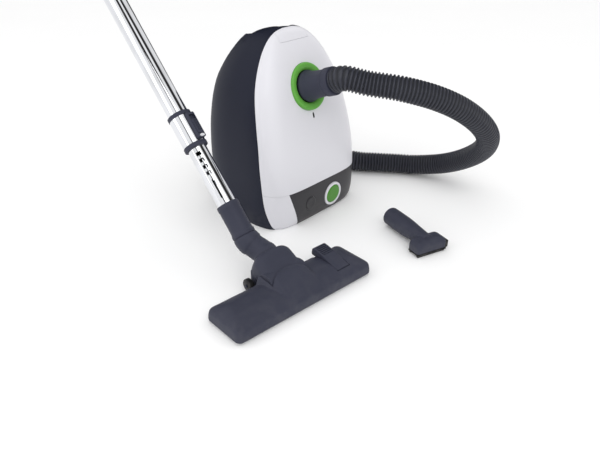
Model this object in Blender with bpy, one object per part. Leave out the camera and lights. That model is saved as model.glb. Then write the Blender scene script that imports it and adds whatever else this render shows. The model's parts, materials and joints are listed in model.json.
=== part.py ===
# Canister vacuum cleaner standing on its rear end, with hose, wand, floor head and a small hand tool.
# Metres, +Z up. The lid faces -Y. The origin is on the standing face, under the middle of the body.
import math

import bmesh
import bpy
from mathutils import Matrix, Vector

# ---------------------------------------------------------------- driving dimensions
BODY_WIDTH = 0.247
BODY_HEIGHT = 0.335
BODY_DEPTH = 0.2235
WALL = 0.003
SEAM_GAP = 0.0004
SKIN_GAP = 0.0003
RUN_GAP = 0.0003

HOSE_DIAMETER = 0.042
WAND_DIAMETER = 0.034
TUBE_WALL = 0.0012
WAND_UPPER_LENGTH = 0.43
WAND_SHOWING = 0.1593
COLLAR_LENGTH = 0.062

HEAD_WIDTH = 0.267
HEAD_DEPTH = 0.079
HEAD_HEIGHT = 0.030
HEAD_CENTRE = (-0.2285, -0.2685)
HEAD_TURN = -5.76
WAND_FOOT = (-0.2293, -0.1640, 0.0662)
WAND_WAY = (0.0320, 0.6870, 0.7259)

INLET_RADIUS = 0.0415
INLET_TILT = 20.0
BUTTON_RADIUS = 0.018
WHEEL_RADIUS = 0.030
TOOL_CENTRE = (0.0375, -0.3065)
TOOL_TURN = 160.1

AROUND = 32
MID_Y = -0.0895 * BODY_DEPTH
FRONT_POWER = 5.0
BACK_POWER = 2.75

# height, half width, front, back: each a share of the body's height, half width and depth
SECTIONS = (
    (0.000, 0.945, -0.545, 0.290), (0.030, 0.966, -0.569, 0.338), (0.104, 0.980, -0.582, 0.376),
    (0.209, 0.992, -0.579, 0.403), (0.328, 1.000, -0.559, 0.416), (0.463, 0.980, -0.517, 0.418),
    (0.597, 0.927, -0.463, 0.405), (0.716, 0.838, -0.414, 0.374), (0.812, 0.725, -0.362, 0.304),
    (0.890, 0.595, -0.313, 0.224), (0.949, 0.449, -0.264, 0.148), (0.988, 0.275, -0.224, 0.054),
    (1.000, 0.146, -0.192, -0.027),
)
# height and depth shares of the line where the dark casing meets the white front
SEAM = ((-0.1, -0.50), (0.0, -0.474), (0.15, -0.418), (0.30, -0.400), (0.45, -0.376),
        (0.60, -0.329), (0.75, -0.268), (0.90, -0.219), (1.0, -0.188), (1.1, -0.16))
LID_SEAM = 0.2105 * BODY_HEIGHT
BULKHEAD_Z = 0.278 * BODY_HEIGHT
WHEEL_Y = 0.064 / 0.2235 * BODY_DEPTH
WHEEL_Z = 0.052
WHEEL_X = 0.079 / 0.247 * BODY_WIDTH
MOTOR_XY = (-0.2105 * BODY_WIDTH, -0.112 * BODY_DEPTH)
REEL_XY = (0.2105 * BODY_WIDTH, -0.112 * BODY_DEPTH)
CASTER_Z = 0.755 * BODY_HEIGHT
ROLL_PLANE = WHEEL_Y + WHEEL_RADIUS
BUTTON_XZ = (0.030 / 0.247 * BODY_WIDTH, 0.0330)
REWIND_XZ = (-0.0326 / 0.247 * BODY_WIDTH, 0.0356)


def between(table, at, column):
    """A table's column read at a height share, straight between its rows."""
    for low, high in zip(table, table[1:]):
        if at <= high[0]:
            share = (at - low[0]) / (high[0] - low[0])
            return low[column] + (high[column] - low[column]) * max(share, 0.0)
    return table[-1][column]


def front_y(z):
    return between(SECTIONS, z / BODY_HEIGHT, 2) * BODY_DEPTH


def back_y(z):
    return between(SECTIONS, z / BODY_HEIGHT, 3) * BODY_DEPTH


def half_width(z):
    return between(SECTIONS, z / BODY_HEIGHT, 1) * BODY_WIDTH / 2


def seam_y(z):
    return between(SEAM, z / BODY_HEIGHT, 1) * BODY_DEPTH


INLET_Z = 0.7194 * BODY_HEIGHT
INLET = Vector((0.0, front_y(INLET_Z), INLET_Z))
TILT = math.radians(INLET_TILT)
INLET_WAY = Vector((0.0, -math.cos(TILT), math.sin(TILT)))


# ---------------------------------------------------------------- collections and materials
for old in list(bpy.data.objects):
    bpy.data.objects.remove(old, do_unlink=True)
PARTS = bpy.data.collections.new("canister_vacuum_cleaner")
CUTTERS = bpy.data.collections.new("cutters")
for group in (PARTS, CUTTERS):
    bpy.context.scene.collection.children.link(group)

COLOURS = {
    "lid_white": ((0.80, 0.80, 0.83), 0.28, 0.0),
    "casing_navy": ((0.030, 0.034, 0.052), 0.45, 0.0),
    "slate_plastic": ((0.052, 0.058, 0.072), 0.5, 0.0),
    "panel_charcoal": ((0.060, 0.060, 0.066), 0.35, 0.0),
    "ring_green": ((0.14, 0.40, 0.07), 0.35, 0.0),
    "button_green": ((0.09, 0.27, 0.04), 0.35, 0.0),
    "chrome": ((0.80, 0.81, 0.83), 0.08, 1.0),
    "black_plastic": ((0.012, 0.012, 0.013), 0.5, 0.0),
    "hose_dark": ((0.028, 0.030, 0.045), 0.45, 0.0),
    "rubber": ((0.015, 0.015, 0.015), 0.8, 0.0),
    "bag_paper": ((0.62, 0.52, 0.38), 0.9, 0.0),
    "filter_foam": ((0.55, 0.57, 0.60), 0.95, 0.0),
    "smoked_window": ((0.02, 0.02, 0.025), 0.1, 0.0),
    "bristle": ((0.008, 0.008, 0.008), 0.9, 0.0),
    "steel": ((0.55, 0.56, 0.58), 0.3, 1.0),
}


def material(name):
    if name in bpy.data.materials:
        return bpy.data.materials[name]
    colour, rough, metal = COLOURS[name]
    made = bpy.data.materials.new(name)
    made.use_nodes = True
    shader = made.node_tree.nodes["Principled BSDF"]
    shader.inputs["Base Color"].default_value = (*colour, 1.0)
    shader.inputs["Roughness"].default_value = rough
    shader.inputs["Metallic"].default_value = metal
    return made


# ---------------------------------------------------------------- shapes
def loft(rings, caps=True):
    """A closed skin through rings that hold the same number of points."""
    bm = bmesh.new()
    rows = [[bm.verts.new(point) for point in ring] for ring in rings]
    count = len(rows[0])
    for low, high in zip(rows, rows[1:]):
        for i in range(count):
            j = (i + 1) % count
            bm.faces.new((low[i], low[j], high[j], high[i]))
    if caps:
        bm.faces.new(list(reversed(rows[0])))
        bm.faces.new(rows[-1])
    bmesh.ops.recalc_face_normals(bm, faces=bm.faces)
    return bm


def box(low, high, bevel=0.0, segments=2):
    """A block between two corners, with rounded edges if bevel is given."""
    bm = bmesh.new()
    bmesh.ops.create_cube(bm, size=1.0)
    size = [b - a for a, b in zip(low, high)]
    centre = [(a + b) / 2 for a, b in zip(low, high)]
    bmesh.ops.scale(bm, vec=size, verts=bm.verts)
    bmesh.ops.translate(bm, vec=centre, verts=bm.verts)
    if bevel:
        bmesh.ops.bevel(bm, geom=list(bm.edges), offset=bevel, segments=segments, profile=0.5, affect="EDGES")
    return bm


def rod(radius, low, high, count=18, top=None):
    """A cylinder, or a cone with top, along local Z."""
    bm = bmesh.new()
    bmesh.ops.create_cone(bm, cap_ends=True, segments=count, radius1=radius,
                          radius2=radius if top is None else top, depth=high - low)
    bmesh.ops.translate(bm, vec=(0, 0, (low + high) / 2), verts=bm.verts)
    return bm


def ball(size, centre, count=16):
    bm = bmesh.new()
    bmesh.ops.create_uvsphere(bm, u_segments=count, v_segments=count // 2, radius=1.0)
    bmesh.ops.scale(bm, vec=size, verts=bm.verts)
    bmesh.ops.translate(bm, vec=centre, verts=bm.verts)
    return bm


def turned(outline, count=18):
    """A closed outline of (radius, height) spun once about local Z."""
    rings = []
    for k in range(count):
        angle = 2 * math.pi * k / count
        rings.append([(r * math.cos(angle), r * math.sin(angle), z) for r, z in outline])
    bm = loft(rings + rings[:1], caps=False)
    bmesh.ops.remove_doubles(bm, verts=bm.verts, dist=0.00002)
    bmesh.ops.recalc_face_normals(bm, faces=bm.faces)
    return bm


def prism(points, low, high, along="X"):
    """A flat outline pushed along an axis. Its points are (Y, Z) along X, or (X, Z) along Y."""
    if along == "X":
        rings = [[(at, p, q) for p, q in points] for at in (low, high)]
    elif along == "Y":
        rings = [[(p, at, q) for p, q in points] for at in (low, high)]
    else:
        rings = [[(p, q, at) for p, q in points] for at in (low, high)]
    return loft(rings)


def frame_at(origin, way, towards=None):
    """A matrix whose local Z runs along way, and whose local X leans towards a direction."""
    z = Vector(way).normalized()
    hint = Vector(towards) if towards is not None else (Vector((1, 0, 0)) if abs(z.x) < 0.9 else Vector((0, 0, 1)))
    x = (hint - z * hint.dot(z)).normalized()
    y = z.cross(x)
    turn = Matrix((x, y, z)).transposed().to_4x4()
    return Matrix.Translation(Vector(origin)) @ turn


def sweep(path, radii, count=18, ends=(None, None)):
    """Round rings along a path: each ring square to the path's local run, or to the way given for an end."""
    points = [Vector(p) for p in path]
    rings = []
    side = None
    for i, point in enumerate(points):
        ahead = points[min(i + 1, len(points) - 1)] - points[max(i - 1, 0)]
        if i == 0 and ends[0] is not None:
            ahead = Vector(ends[0])
        if i == len(points) - 1 and ends[1] is not None:
            ahead = Vector(ends[1])
        ahead.normalize()
        if side is None:
            side = ahead.orthogonal().normalized()
        side = (side - ahead * side.dot(ahead)).normalized()
        other = ahead.cross(side)
        ring = []
        for k in range(count):
            angle = 2 * math.pi * k / count
            ring.append(point + (side * math.cos(angle) + other * math.sin(angle)) * radii[i])
        rings.append(ring)
    return rings


def place(name, bm, group, matrix):
    mesh = bpy.data.meshes.new(name)
    bm.to_mesh(mesh)
    bm.free()
    made = bpy.data.objects.new(name, mesh)
    group.objects.link(made)
    if matrix is not None:
        made.matrix_world = matrix
    return made


def node(name, bm, look, matrix=None):
    made = place(name, bm, PARTS, matrix)
    made.data.materials.append(material(look))
    return made


def helper(name, bm, matrix=None):
    made = place(name, bm, CUTTERS, matrix)
    made.hide_render = True
    made.display_type = "WIRE"
    return made


def combine(target, operation, other):
    step = target.modifiers.new(operation.lower() + "_" + other.name, "BOOLEAN")
    step.operation = operation
    step.object = other
    step.solver = "EXACT"


def cut(target, *others):
    for other in others:
        combine(target, "DIFFERENCE", other)


def add(target, *others):
    for other in others:
        combine(target, "UNION", other)


def keep(target, other):
    combine(target, "INTERSECT", other)


def superellipse(z, inset):
    """One level section of the body, drawn in by an inset."""
    wide = max(half_width(z) - inset, 0.004)
    front = front_y(z) + inset
    back = back_y(z) - inset
    ring = []
    for k in range(AROUND):
        angle = 2 * math.pi * (k + 0.5) / AROUND
        c, s = math.cos(angle), math.sin(angle)
        power = FRONT_POWER if s < 0 else BACK_POWER
        reach = MID_Y - front if s < 0 else back - MID_Y
        x = wide * math.copysign(abs(c) ** (2 / power), c)
        y = MID_Y + reach * math.copysign(abs(s) ** (2 / power), s)
        ring.append((x, y))
    return ring


def body_form(inset, floor=0.0):
    """The whole body's outer form, drawn in by an inset all round."""
    rings = []
    for row in SECTIONS:
        z = row[0] * BODY_HEIGHT
        level = inset + floor + z * (BODY_HEIGHT - 2 * inset - floor) / BODY_HEIGHT
        rings.append([(x, y, level) for x, y in superellipse(z, inset)])
    return loft(rings)


def front_region(gap, low, high):
    """A slab ahead of the seam line, between two heights."""
    heights = [low] + [row[0] * BODY_HEIGHT for row in SEAM if low < row[0] * BODY_HEIGHT < high] + [high]
    line = [(seam_y(z) - gap, z) for z in heights]
    return prism([(-2 * BODY_DEPTH, low)] + line + [(-2 * BODY_DEPTH, high)], -BODY_WIDTH, BODY_WIDTH)


def panel_region(gap, name):
    """The slanted outline of the control panel, seen from the front."""
    top = LID_SEAM - SEAM_GAP + (0.002 if gap < 0 else -0.0001)
    rows = []
    for z in (-0.01, top):
        share = (z + 0.01) / (LID_SEAM + 0.01)
        left = (-0.235 + (-0.345 + 0.235) * share) * BODY_WIDTH
        right = (0.440 + (0.470 - 0.440) * share) * BODY_WIDTH
        rows.append((left + gap, right - gap, z))
    outline = [(rows[0][0], rows[0][2]), (rows[0][1], rows[0][2]), (rows[1][1], rows[1][2]), (rows[1][0], rows[1][2])]
    return helper(name, prism(outline, -0.25, seam_y(0.0) - 0.001, "Y"))


# ---------------------------------------------------------------- canister shells
def wheel_matrix(side, inner):
    return frame_at((side * inner, WHEEL_Y, WHEEL_Z), (side, 0, 0))


def make_shells():
    cavity = helper("cavity", body_form(WALL))
    cover_cavity = helper("cover_cavity", body_form(WALL + 0.0014))
    solid_form = helper("panel_back", body_form(0.0021))
    skin_form = helper("panel_skin_back", body_form(0.0018))
    cup_at = (0, seam_y(BODY_HEIGHT) + 0.045, BODY_HEIGHT + 0.003)
    grip_cup = helper("handle_cup", ball((0.048, 0.042, 0.043), cup_at, 20))
    cup_block = helper("handle_cup_block", ball((0.051, 0.045, 0.046), cup_at, 20))
    recess_y = ROLL_PLANE - 0.036
    caster_at = frame_at((0, recess_y, CASTER_Z), (0, 1, 0))
    caster_recess = helper("caster_recess", rod(0.0225, 0.0, 0.06), caster_at)
    caster_block = helper("caster_block", rod(0.0255, -0.006, 0.06), caster_at)
    caster_hole = helper("caster_hole", rod(0.0043, -0.0045, 0.02, 16), caster_at)
    blocks, wells = [cup_block, caster_block], []
    for side, word in ((-1, "left"), (1, "right")):
        at = wheel_matrix(side, WHEEL_X)
        wells.append(helper("well_" + word, rod(WHEEL_RADIUS + 0.0035, -0.0125, 0.0125, 24), at))
        blocks.append(helper("well_block_" + word, rod(WHEEL_RADIUS + 0.0065, -0.0155, 0.0155, 24), at))
    cut(cavity, *blocks)

    front = helper("ahead_of_seam", front_region(0.0, -0.02, 1.05 * BODY_HEIGHT))
    base = node("base_shell", body_form(0.0), "casing_navy")
    arch = []
    top, half = BODY_HEIGHT, 0.056
    for share in (-1.0, -0.75, -0.4, 0.0, 0.4, 0.75, 1.0):
        rise = (1 - abs(share) ** 2.4)
        centre = Vector((share * half, seam_y(top) + 0.043, top - 0.0255 + 0.0130 * rise))
        lean = 2.4 * abs(share) ** 1.4 * 0.0130 / half * math.copysign(1, -share)
        along = Vector((1, 0, lean)).normalized()
        up = Vector((-along.z, 0, along.x))
        ring = []
        for k in range(12):
            angle = 2 * math.pi * (k + 0.5) / 12
            c, s = math.cos(angle), math.sin(angle)
            wide = 0.0105 * math.copysign(abs(c) ** 0.7, c)
            high = 0.0050 * math.copysign(abs(s) ** 0.7, s)
            ring.append(centre + Vector((0, wide, 0)) + up * high)
        arch.append(ring)
    handle = helper("handle_bar", loft(arch))
    grille_low, grille_high = grille_corners(0.0003)
    grille_hole = helper("grille_hole", box(grille_low, (grille_high[0], grille_high[1] + 0.03, grille_high[2])))
    gland_hole = helper("gland_hole", rod(0.0093, -0.02, 0.02, 24), gland_matrix())
    cut(base, cavity, front, *wells, caster_recess, caster_hole, grip_cup)
    add(base, handle)
    cut(base, grille_hole, gland_hole)

    cover = node("rear_cover", body_form(0.0), "lid_white")
    keep(cover, helper("cover_region", front_region(SEAM_GAP, -0.02, LID_SEAM - SEAM_GAP)))
    pocket = panel_region(-SKIN_GAP, "panel_pocket")
    cut(pocket, solid_form)
    cut(cover, cover_cavity, pocket)
    for name, (x, z), radius in (("power", BUTTON_XZ, 0.0200), ("rewind", REWIND_XZ, 0.0133)):
        cut(cover, helper(name + "_hole", rod(radius, -0.02, 0.02, 24), panel_matrix(x, z)))
    panel = node("control_panel", body_form(0.0), "panel_charcoal")
    keep(panel, panel_region(0.0, "panel_region"))
    cut(panel, skin_form)
    for name, (x, z), radius in (("power", BUTTON_XZ, 0.0235), ("rewind", REWIND_XZ, 0.0133)):
        cut(panel, helper(name + "_gap", rod(radius, -0.02, 0.02, 24), panel_matrix(x, z)))

    lid = node("lid", body_form(0.0), "lid_white")
    keep(lid, helper("lid_region", front_region(SEAM_GAP, LID_SEAM, 1.05 * BODY_HEIGHT)))
    cut(lid, helper("lid_cavity", body_form(WALL)))
    inlet_at = frame_at(INLET, INLET_WAY)
    cut(lid, helper("inlet_hole", rod(INLET_RADIUS + 0.0003, -0.04, 0.04, 32), inlet_at))
    slit = helper("slit_hole", box((-0.0022, -0.0052, -0.02), (0.0022, 0.0052, 0.02), 0.002), slit_matrix())
    cut(lid, slit, helper("latch_gap", latch_form(0.0004)))


def panel_matrix(x, z):
    """Local Z out of the front face at a point of the panel."""
    slope = (front_y(z + 0.01) - front_y(z - 0.01)) / 0.02
    return frame_at((x, front_y(z), z), (0, -1, slope), (1, 0, 0))


def slit_matrix():
    z = 0.572 * BODY_HEIGHT
    slope = (front_y(z + 0.02) - front_y(z - 0.02)) / 0.04
    return frame_at((0, front_y(z), z), (0, -1, slope), (1, 0, 0))


def latch_form(gap):
    top = BODY_HEIGHT + 0.006
    low = BODY_HEIGHT * 0.944 - gap
    wide = 0.034 + gap
    return box((-wide, front_y(BODY_HEIGHT * 0.95) - 0.012, low), (wide, seam_y(BODY_HEIGHT) + 0.01, top))


def grille_corners(gap):
    return (-0.045 - gap, 0.0, 0.022 - gap), (0.045 + gap, back_y(0.05) - 0.004, BULKHEAD_Z - 0.016 + gap)


def gland_matrix():
    return frame_at((half_width(0.035), -0.018, 0.035), (1, 0, 0))


# ---------------------------------------------------------------- canister fittings
def make_front_fittings():
    inlet_at = frame_at(INLET, INLET_WAY, (1, 0, 0))
    r = INLET_RADIUS
    node("inlet_ring", turned([(0.0285, -0.012), (r, -0.012), (r, 0.0015), (r - 0.0012, 0.0035), (r - 0.004, 0.0045),
                               (r - 0.009, 0.0035), (0.0285, 0.0010)], 18), "ring_green", inlet_at)
    node("inlet_seal", turned([(0.0205, -0.0165), (0.0345, -0.0165), (0.0345, -0.0123), (0.0205, -0.0123)], 16),
         "rubber", inlet_at)
    window = box((-0.0019, -0.0049, -0.0035), (0.0019, 0.0049, 0.0004), 0.0012, 2)
    node("bag_indicator", window, "smoked_window", slit_matrix())
    latch = node("lid_latch", body_form(0.0), "lid_white")
    keep(latch, helper("latch_region", latch_form(0.0)))
    keep(latch, helper("latch_front", front_region(SEAM_GAP, 0.5 * BODY_HEIGHT, 1.05 * BODY_HEIGHT)))

    x, z = BUTTON_XZ
    ring = turned([(BUTTON_RADIUS + 0.0004, -0.0055), (0.0197, -0.0055), (0.0197, -0.0014), (0.0232, -0.0014),
                   (0.0232, 0.0010), (0.0222, 0.0020), (BUTTON_RADIUS + 0.0010, 0.0020),
                   (BUTTON_RADIUS + 0.0004, 0.0012)], 18)
    node("button_ring", ring, "lid_white", panel_matrix(x, z))
    q = BUTTON_RADIUS
    button = turned([(0.0, -0.0070), (q - 0.001, -0.0070), (q, -0.0062), (q, 0.0012), (q - 0.0015, 0.0024),
                     (0.0, 0.0030)], 18)
    node("power_button", button, "button_green", panel_matrix(x, z))
    x, z = REWIND_XZ
    button = turned([(0.0, -0.0065), (0.0094, -0.0065), (0.0094, -0.0018), (0.0129, -0.0018), (0.0129, 0.0004),
                     (0.0122, 0.0010), (0.0, 0.0006)], 16)
    node("rewind_button", button, "panel_charcoal", panel_matrix(x, z))


def make_wheels():
    for side, word in ((-1, "left"), (1, "right")):
        at = wheel_matrix(side, WHEEL_X)
        r = WHEEL_RADIUS
        wheel = turned([(0.0043, -0.009), (0.010, -0.009), (0.012, -0.006), (r - 0.007, -0.006), (r - 0.005, -0.009),
                        (r - 0.0015, -0.009), (r, -0.0072), (r, 0.0072), (r - 0.0015, 0.009), (r - 0.005, 0.009),
                        (r - 0.007, 0.006), (0.012, 0.006), (0.010, 0.009), (0.0043, 0.009)], 16)
        node("wheel_" + word, wheel, "black_plastic", at)
        node("wheel_axle_" + word, rod(0.0040, -0.0122, 0.0122, 16), "steel", at)
    recess_y = ROLL_PLANE - 0.036
    at = frame_at((0, recess_y, CASTER_Z), (0, 1, 0))
    fork = node("caster_fork", rod(0.0170, 0.0004, 0.0040, 28), "black_plastic", at)
    add(fork, helper("fork_pin", rod(0.0040, -0.0040, 0.0020, 16), at))
    for side in (-1, 1):
        cheek = box((side * 0.0095 - 0.0012, -0.009, 0.002), (side * 0.0095 + 0.0012, 0.009, 0.0255), 0.0006, 1)
        add(fork, helper("fork_cheek_%d" % (side + 1), cheek, at))
    axle = rod(0.0018, -0.0100, 0.0100, 12)
    add(fork, helper("fork_axle", axle, at @ Matrix.Translation((0, 0, 0.0225)) @ Matrix.Rotation(math.pi / 2, 4, "Y")))
    wheel = turned([(0.0020, -0.0078), (0.0120, -0.0078), (0.0135, -0.0062), (0.0135, 0.0062), (0.0120, 0.0078),
                    (0.0020, 0.0078)], 18)
    node("caster_wheel", wheel, "black_plastic",
         at @ Matrix.Translation((0, 0, 0.0225)) @ Matrix.Rotation(math.pi / 2, 4, "Y"))


def make_insides():
    low, high = BULKHEAD_Z - 0.003, BULKHEAD_Z
    mx, my = MOTOR_XY
    reach_x, reach_y = 0.70 * BODY_WIDTH, 0.82 * BODY_DEPTH
    bulk = node("bulkhead", box((-reach_x, -reach_y, low), (reach_x, reach_y, high)), "black_plastic")
    keep(bulk, helper("bulkhead_form", body_form(WALL + 0.0005)))
    cut(bulk, helper("bulkhead_front", front_region(-0.003, low - 0.01, high + 0.01)))
    for side in (-1, 1):
        cut(bulk, helper("bulkhead_well_%d" % (side + 1), rod(WHEEL_RADIUS + 0.0070, -0.016, 0.016, 20),
                         wheel_matrix(side, WHEEL_X)))
    for row in range(4):
        y = my - 0.0225 + 0.015 * row
        cut(bulk, helper("bulkhead_slot_%d" % row, box((mx - 0.026, y - 0.004, low - 0.01), (mx + 0.026, y + 0.004, high + 0.01))))
    node("filter_frame", turned([(0.0375, high + 0.0003), (0.0405, high + 0.0003), (0.0405, high + 0.0075),
                                 (0.0345, high + 0.0075), (0.0345, high + 0.0063), (0.0375, high + 0.0063)], 16),
         "slate_plastic", Matrix.Translation((mx, my, 0)))
    node("motor_filter", rod(0.0371, high + 0.0004, high + 0.0059, 16), "filter_foam", Matrix.Translation((mx, my, 0)))

    top = low - 0.0120
    floor = WALL + 0.0095
    housing = turned([(0.0, floor), (0.0400, floor), (0.0455, floor + 0.004), (0.0455, top - 0.002), (0.0440, top),
                      (0.0270, top), (0.0270, top - 0.003), (0.0420, top - 0.0045), (0.0420, top - 0.0200),
                      (0.0044, top - 0.0200), (0.0044, floor + 0.012), (0.0, floor + 0.012)], 16)
    node("motor_housing", housing, "slate_plastic", Matrix.Translation((mx, my, 0)))
    node("motor_mount", turned([(0.0290, WALL + 0.0003), (0.0390, WALL + 0.0003), (0.0390, floor - 0.0003),
                                (0.0290, floor - 0.0003)], 16), "rubber", Matrix.Translation((mx, my, 0)))
    node("motor_seal", turned([(0.0350, top + 0.0003), (0.0430, top + 0.0003), (0.0400, low - 0.0003),
                               (0.0350, low - 0.0003)], 16), "rubber", Matrix.Translation((mx, my, 0)))
    fan_z = top - 0.0180
    fan = node("impeller", turned([(0.0, fan_z - 0.010), (0.0040, fan_z - 0.010), (0.0040, fan_z), (0.0390, fan_z),
                                   (0.0390, fan_z + 0.0015), (0.0080, fan_z + 0.003), (0.0060, fan_z + 0.012),
                                   (0.0, fan_z + 0.012)], 16), "steel", Matrix.Translation((mx, my, 0)))
    for k in range(8):
        blade = box((0.0060, -0.0006, fan_z + 0.0008), (0.0375, 0.0006, fan_z + 0.0105))
        turn = Matrix.Translation((mx, my, 0)) @ Matrix.Rotation(2 * math.pi * k / 8, 4, "Z")
        add(fan, helper("blade_%d" % k, blade, turn))

    rx, ry = REEL_XY
    base = WALL + 0.0100
    node("cord_reel", turned([(0.0086, base), (0.0460, base), (0.0460, base + 0.0022), (0.0200, base + 0.0030),
                              (0.0200, base + 0.0350), (0.0460, base + 0.0358), (0.0460, base + 0.0380),
                              (0.0086, base + 0.0380)], 16), "slate_plastic", Matrix.Translation((rx, ry, 0)))
    node("reel_spindle", turned([(0.0, WALL + 0.0003), (0.0200, WALL + 0.0003), (0.0200, base - 0.0003),
                                 (0.0082, base - 0.0003), (0.0082, base + 0.0420), (0.0, base + 0.0420)], 18),
         "black_plastic", Matrix.Translation((rx, ry, 0)))

    low_corner, high_corner = grille_corners(0.0)
    y = high_corner[1]
    grille = node("exhaust_grille", box((low_corner[0], y - 0.0055, low_corner[2]), (high_corner[0], y, high_corner[2])),
                  "casing_navy")
    slots = 6
    pitch = (high_corner[2] - low_corner[2] - 0.010) / slots
    for k in range(slots):
        z = low_corner[2] + 0.005 + pitch * (k + 0.5)
        cut(grille, helper("grille_slot_%d" % k, box((-0.040, y - 0.02, z - 0.25 * pitch), (0.040, y + 0.02, z + 0.25 * pitch))))
    node("exhaust_filter", box((low_corner[0] + 0.002, y - 0.0148, low_corner[2] + 0.001),
                               (high_corner[0] - 0.002, y - 0.0058, high_corner[2] - 0.001)), "filter_foam")
    node("cord_outlet", turned([(0.0040, -0.0045), (0.0090, -0.0045), (0.0090, 0.0004), (0.0106, 0.0004),
                                (0.0098, 0.0022), (0.0060, 0.0026), (0.0040, 0.0012)], 18), "rubber", gland_matrix())

    inlet_at = frame_at(INLET, INLET_WAY, (1, 0, 0))
    plate = node("bag_holder", box((-0.0420, -0.0400, -0.0225), (0.0420, 0.0400, -0.0200)), "slate_plastic", inlet_at)
    leg_top = INLET + INLET_WAY * -0.0212
    for side in (-1, 1):
        start = Vector((side * 0.0390, leg_top.y - 0.028 * INLET_WAY.z, leg_top.z - 0.028))
        leg = box((-0.0028, -0.0028, BULKHEAD_Z + 0.0004 - start.z), (0.0028, 0.0028, 0.0))
        add(plate, helper("holder_leg_%d" % (side + 1), leg, Matrix.Translation(start)))
    cut(plate, helper("holder_hole", rod(0.0240, -0.05, 0.02, 32), inlet_at))
    node("bag_collar", turned([(0.0190, -0.0197), (0.0360, -0.0197), (0.0360, -0.0180), (0.0190, -0.0180)], 16),
         "bag_paper", inlet_at)
    bag_low, bag_high = BULKHEAD_Z + 0.0085, 0.850 * BODY_HEIGHT
    rings = []
    for share, swell in ((0.0, 0.62), (0.05, 0.80), (0.2, 0.97), (0.45, 1.0), (0.7, 0.94), (0.88, 0.80), (0.97, 0.60), (1.0, 0.42)):
        z = bag_low + (bag_high - bag_low) * share
        wide = 0.74 * half_width(z) * swell
        deep = 0.195 * BODY_DEPTH * swell
        ring = []
        for k in range(16):
            angle = 2 * math.pi * k / 16
            c, s = math.cos(angle), math.sin(angle)
            ring.append((wide * math.copysign(abs(c) ** 0.7, c), 0.004 + deep * math.copysign(abs(s) ** 0.7, s), z))
        rings.append(ring)
    bag = node("dust_bag", loft(rings), "bag_paper")
    add(bag, helper("bag_neck", rod(0.0225, -0.0700, -0.0200, 24), inlet_at))
    cut(bag, helper("bag_bore", rod(0.0180, -0.0600, 0.0, 24), inlet_at))


# ---------------------------------------------------------------- hose and grip
CUFF_LENGTH = 0.0640
CUFF_END = INLET + INLET_WAY * CUFF_LENGTH
FLOOR_Z = HOSE_DIAMETER / 2
GRIP_WAY = Vector((0.737, 0.676, 0.0)).normalized()
GRIP_Z = HOSE_DIAMETER / 2 + 0.0040
HOSE_END = Vector((0.400, 0.297, GRIP_Z))
ROUTE = [
    CUFF_END + INLET_WAY * RUN_GAP, CUFF_END + INLET_WAY * 0.022 + Vector((0.002, 0, 0)),
    Vector((0.022, -0.206, 0.264)), Vector((0.054, -0.251, 0.257)), Vector((0.095, -0.290, 0.241)),
    Vector((0.136, -0.320, 0.217)), Vector((0.178, -0.338, 0.184)), Vector((0.217, -0.338, 0.147)),
    Vector((0.252, -0.315, 0.107)), Vector((0.277, -0.270, 0.067)), Vector((0.286, -0.215, 0.036)),
    Vector((0.268, -0.152, FLOOR_Z)), Vector((0.235, -0.100, FLOOR_Z)), Vector((0.203, -0.052, FLOOR_Z)),
    Vector((0.187, 0.004, FLOOR_Z)), Vector((0.194, 0.062, FLOOR_Z)), Vector((0.224, 0.115, FLOOR_Z)),
    Vector((0.268, 0.166, FLOOR_Z)), Vector((0.318, 0.218, FLOOR_Z)), Vector((0.362, 0.262, GRIP_Z)), HOSE_END,
]


def smooth_path(points, step):
    """Even points along a Catmull-Rom curve through the route."""
    ends = [points[0] * 2 - points[1]] + list(points) + [points[-1] * 2 - points[-2]]
    fine = []
    for i in range(1, len(ends) - 2):
        a, b, c, d = ends[i - 1:i + 3]
        for k in range(20):
            t = k / 20
            fine.append(0.5 * ((2 * b) + (c - a) * t + (2 * a - 5 * b + 4 * c - d) * t * t
                               + (3 * b - a - 3 * c + d) * t ** 3))
    fine.append(points[-1])
    reach = [0.0]
    for p, q in zip(fine, fine[1:]):
        reach.append(reach[-1] + (q - p).length)
    count = max(int(reach[-1] / step), 2)
    out, i = [], 0
    for k in range(count + 1):
        want = reach[-1] * k / count
        while i < len(reach) - 2 and reach[i + 1] < want:
            i += 1
        share = (want - reach[i]) / max(reach[i + 1] - reach[i], 1e-9)
        at = fine[i].lerp(fine[i + 1], min(share, 1.0))
        at.z = max(at.z, FLOOR_Z)
        out.append(at)
    return out


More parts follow.
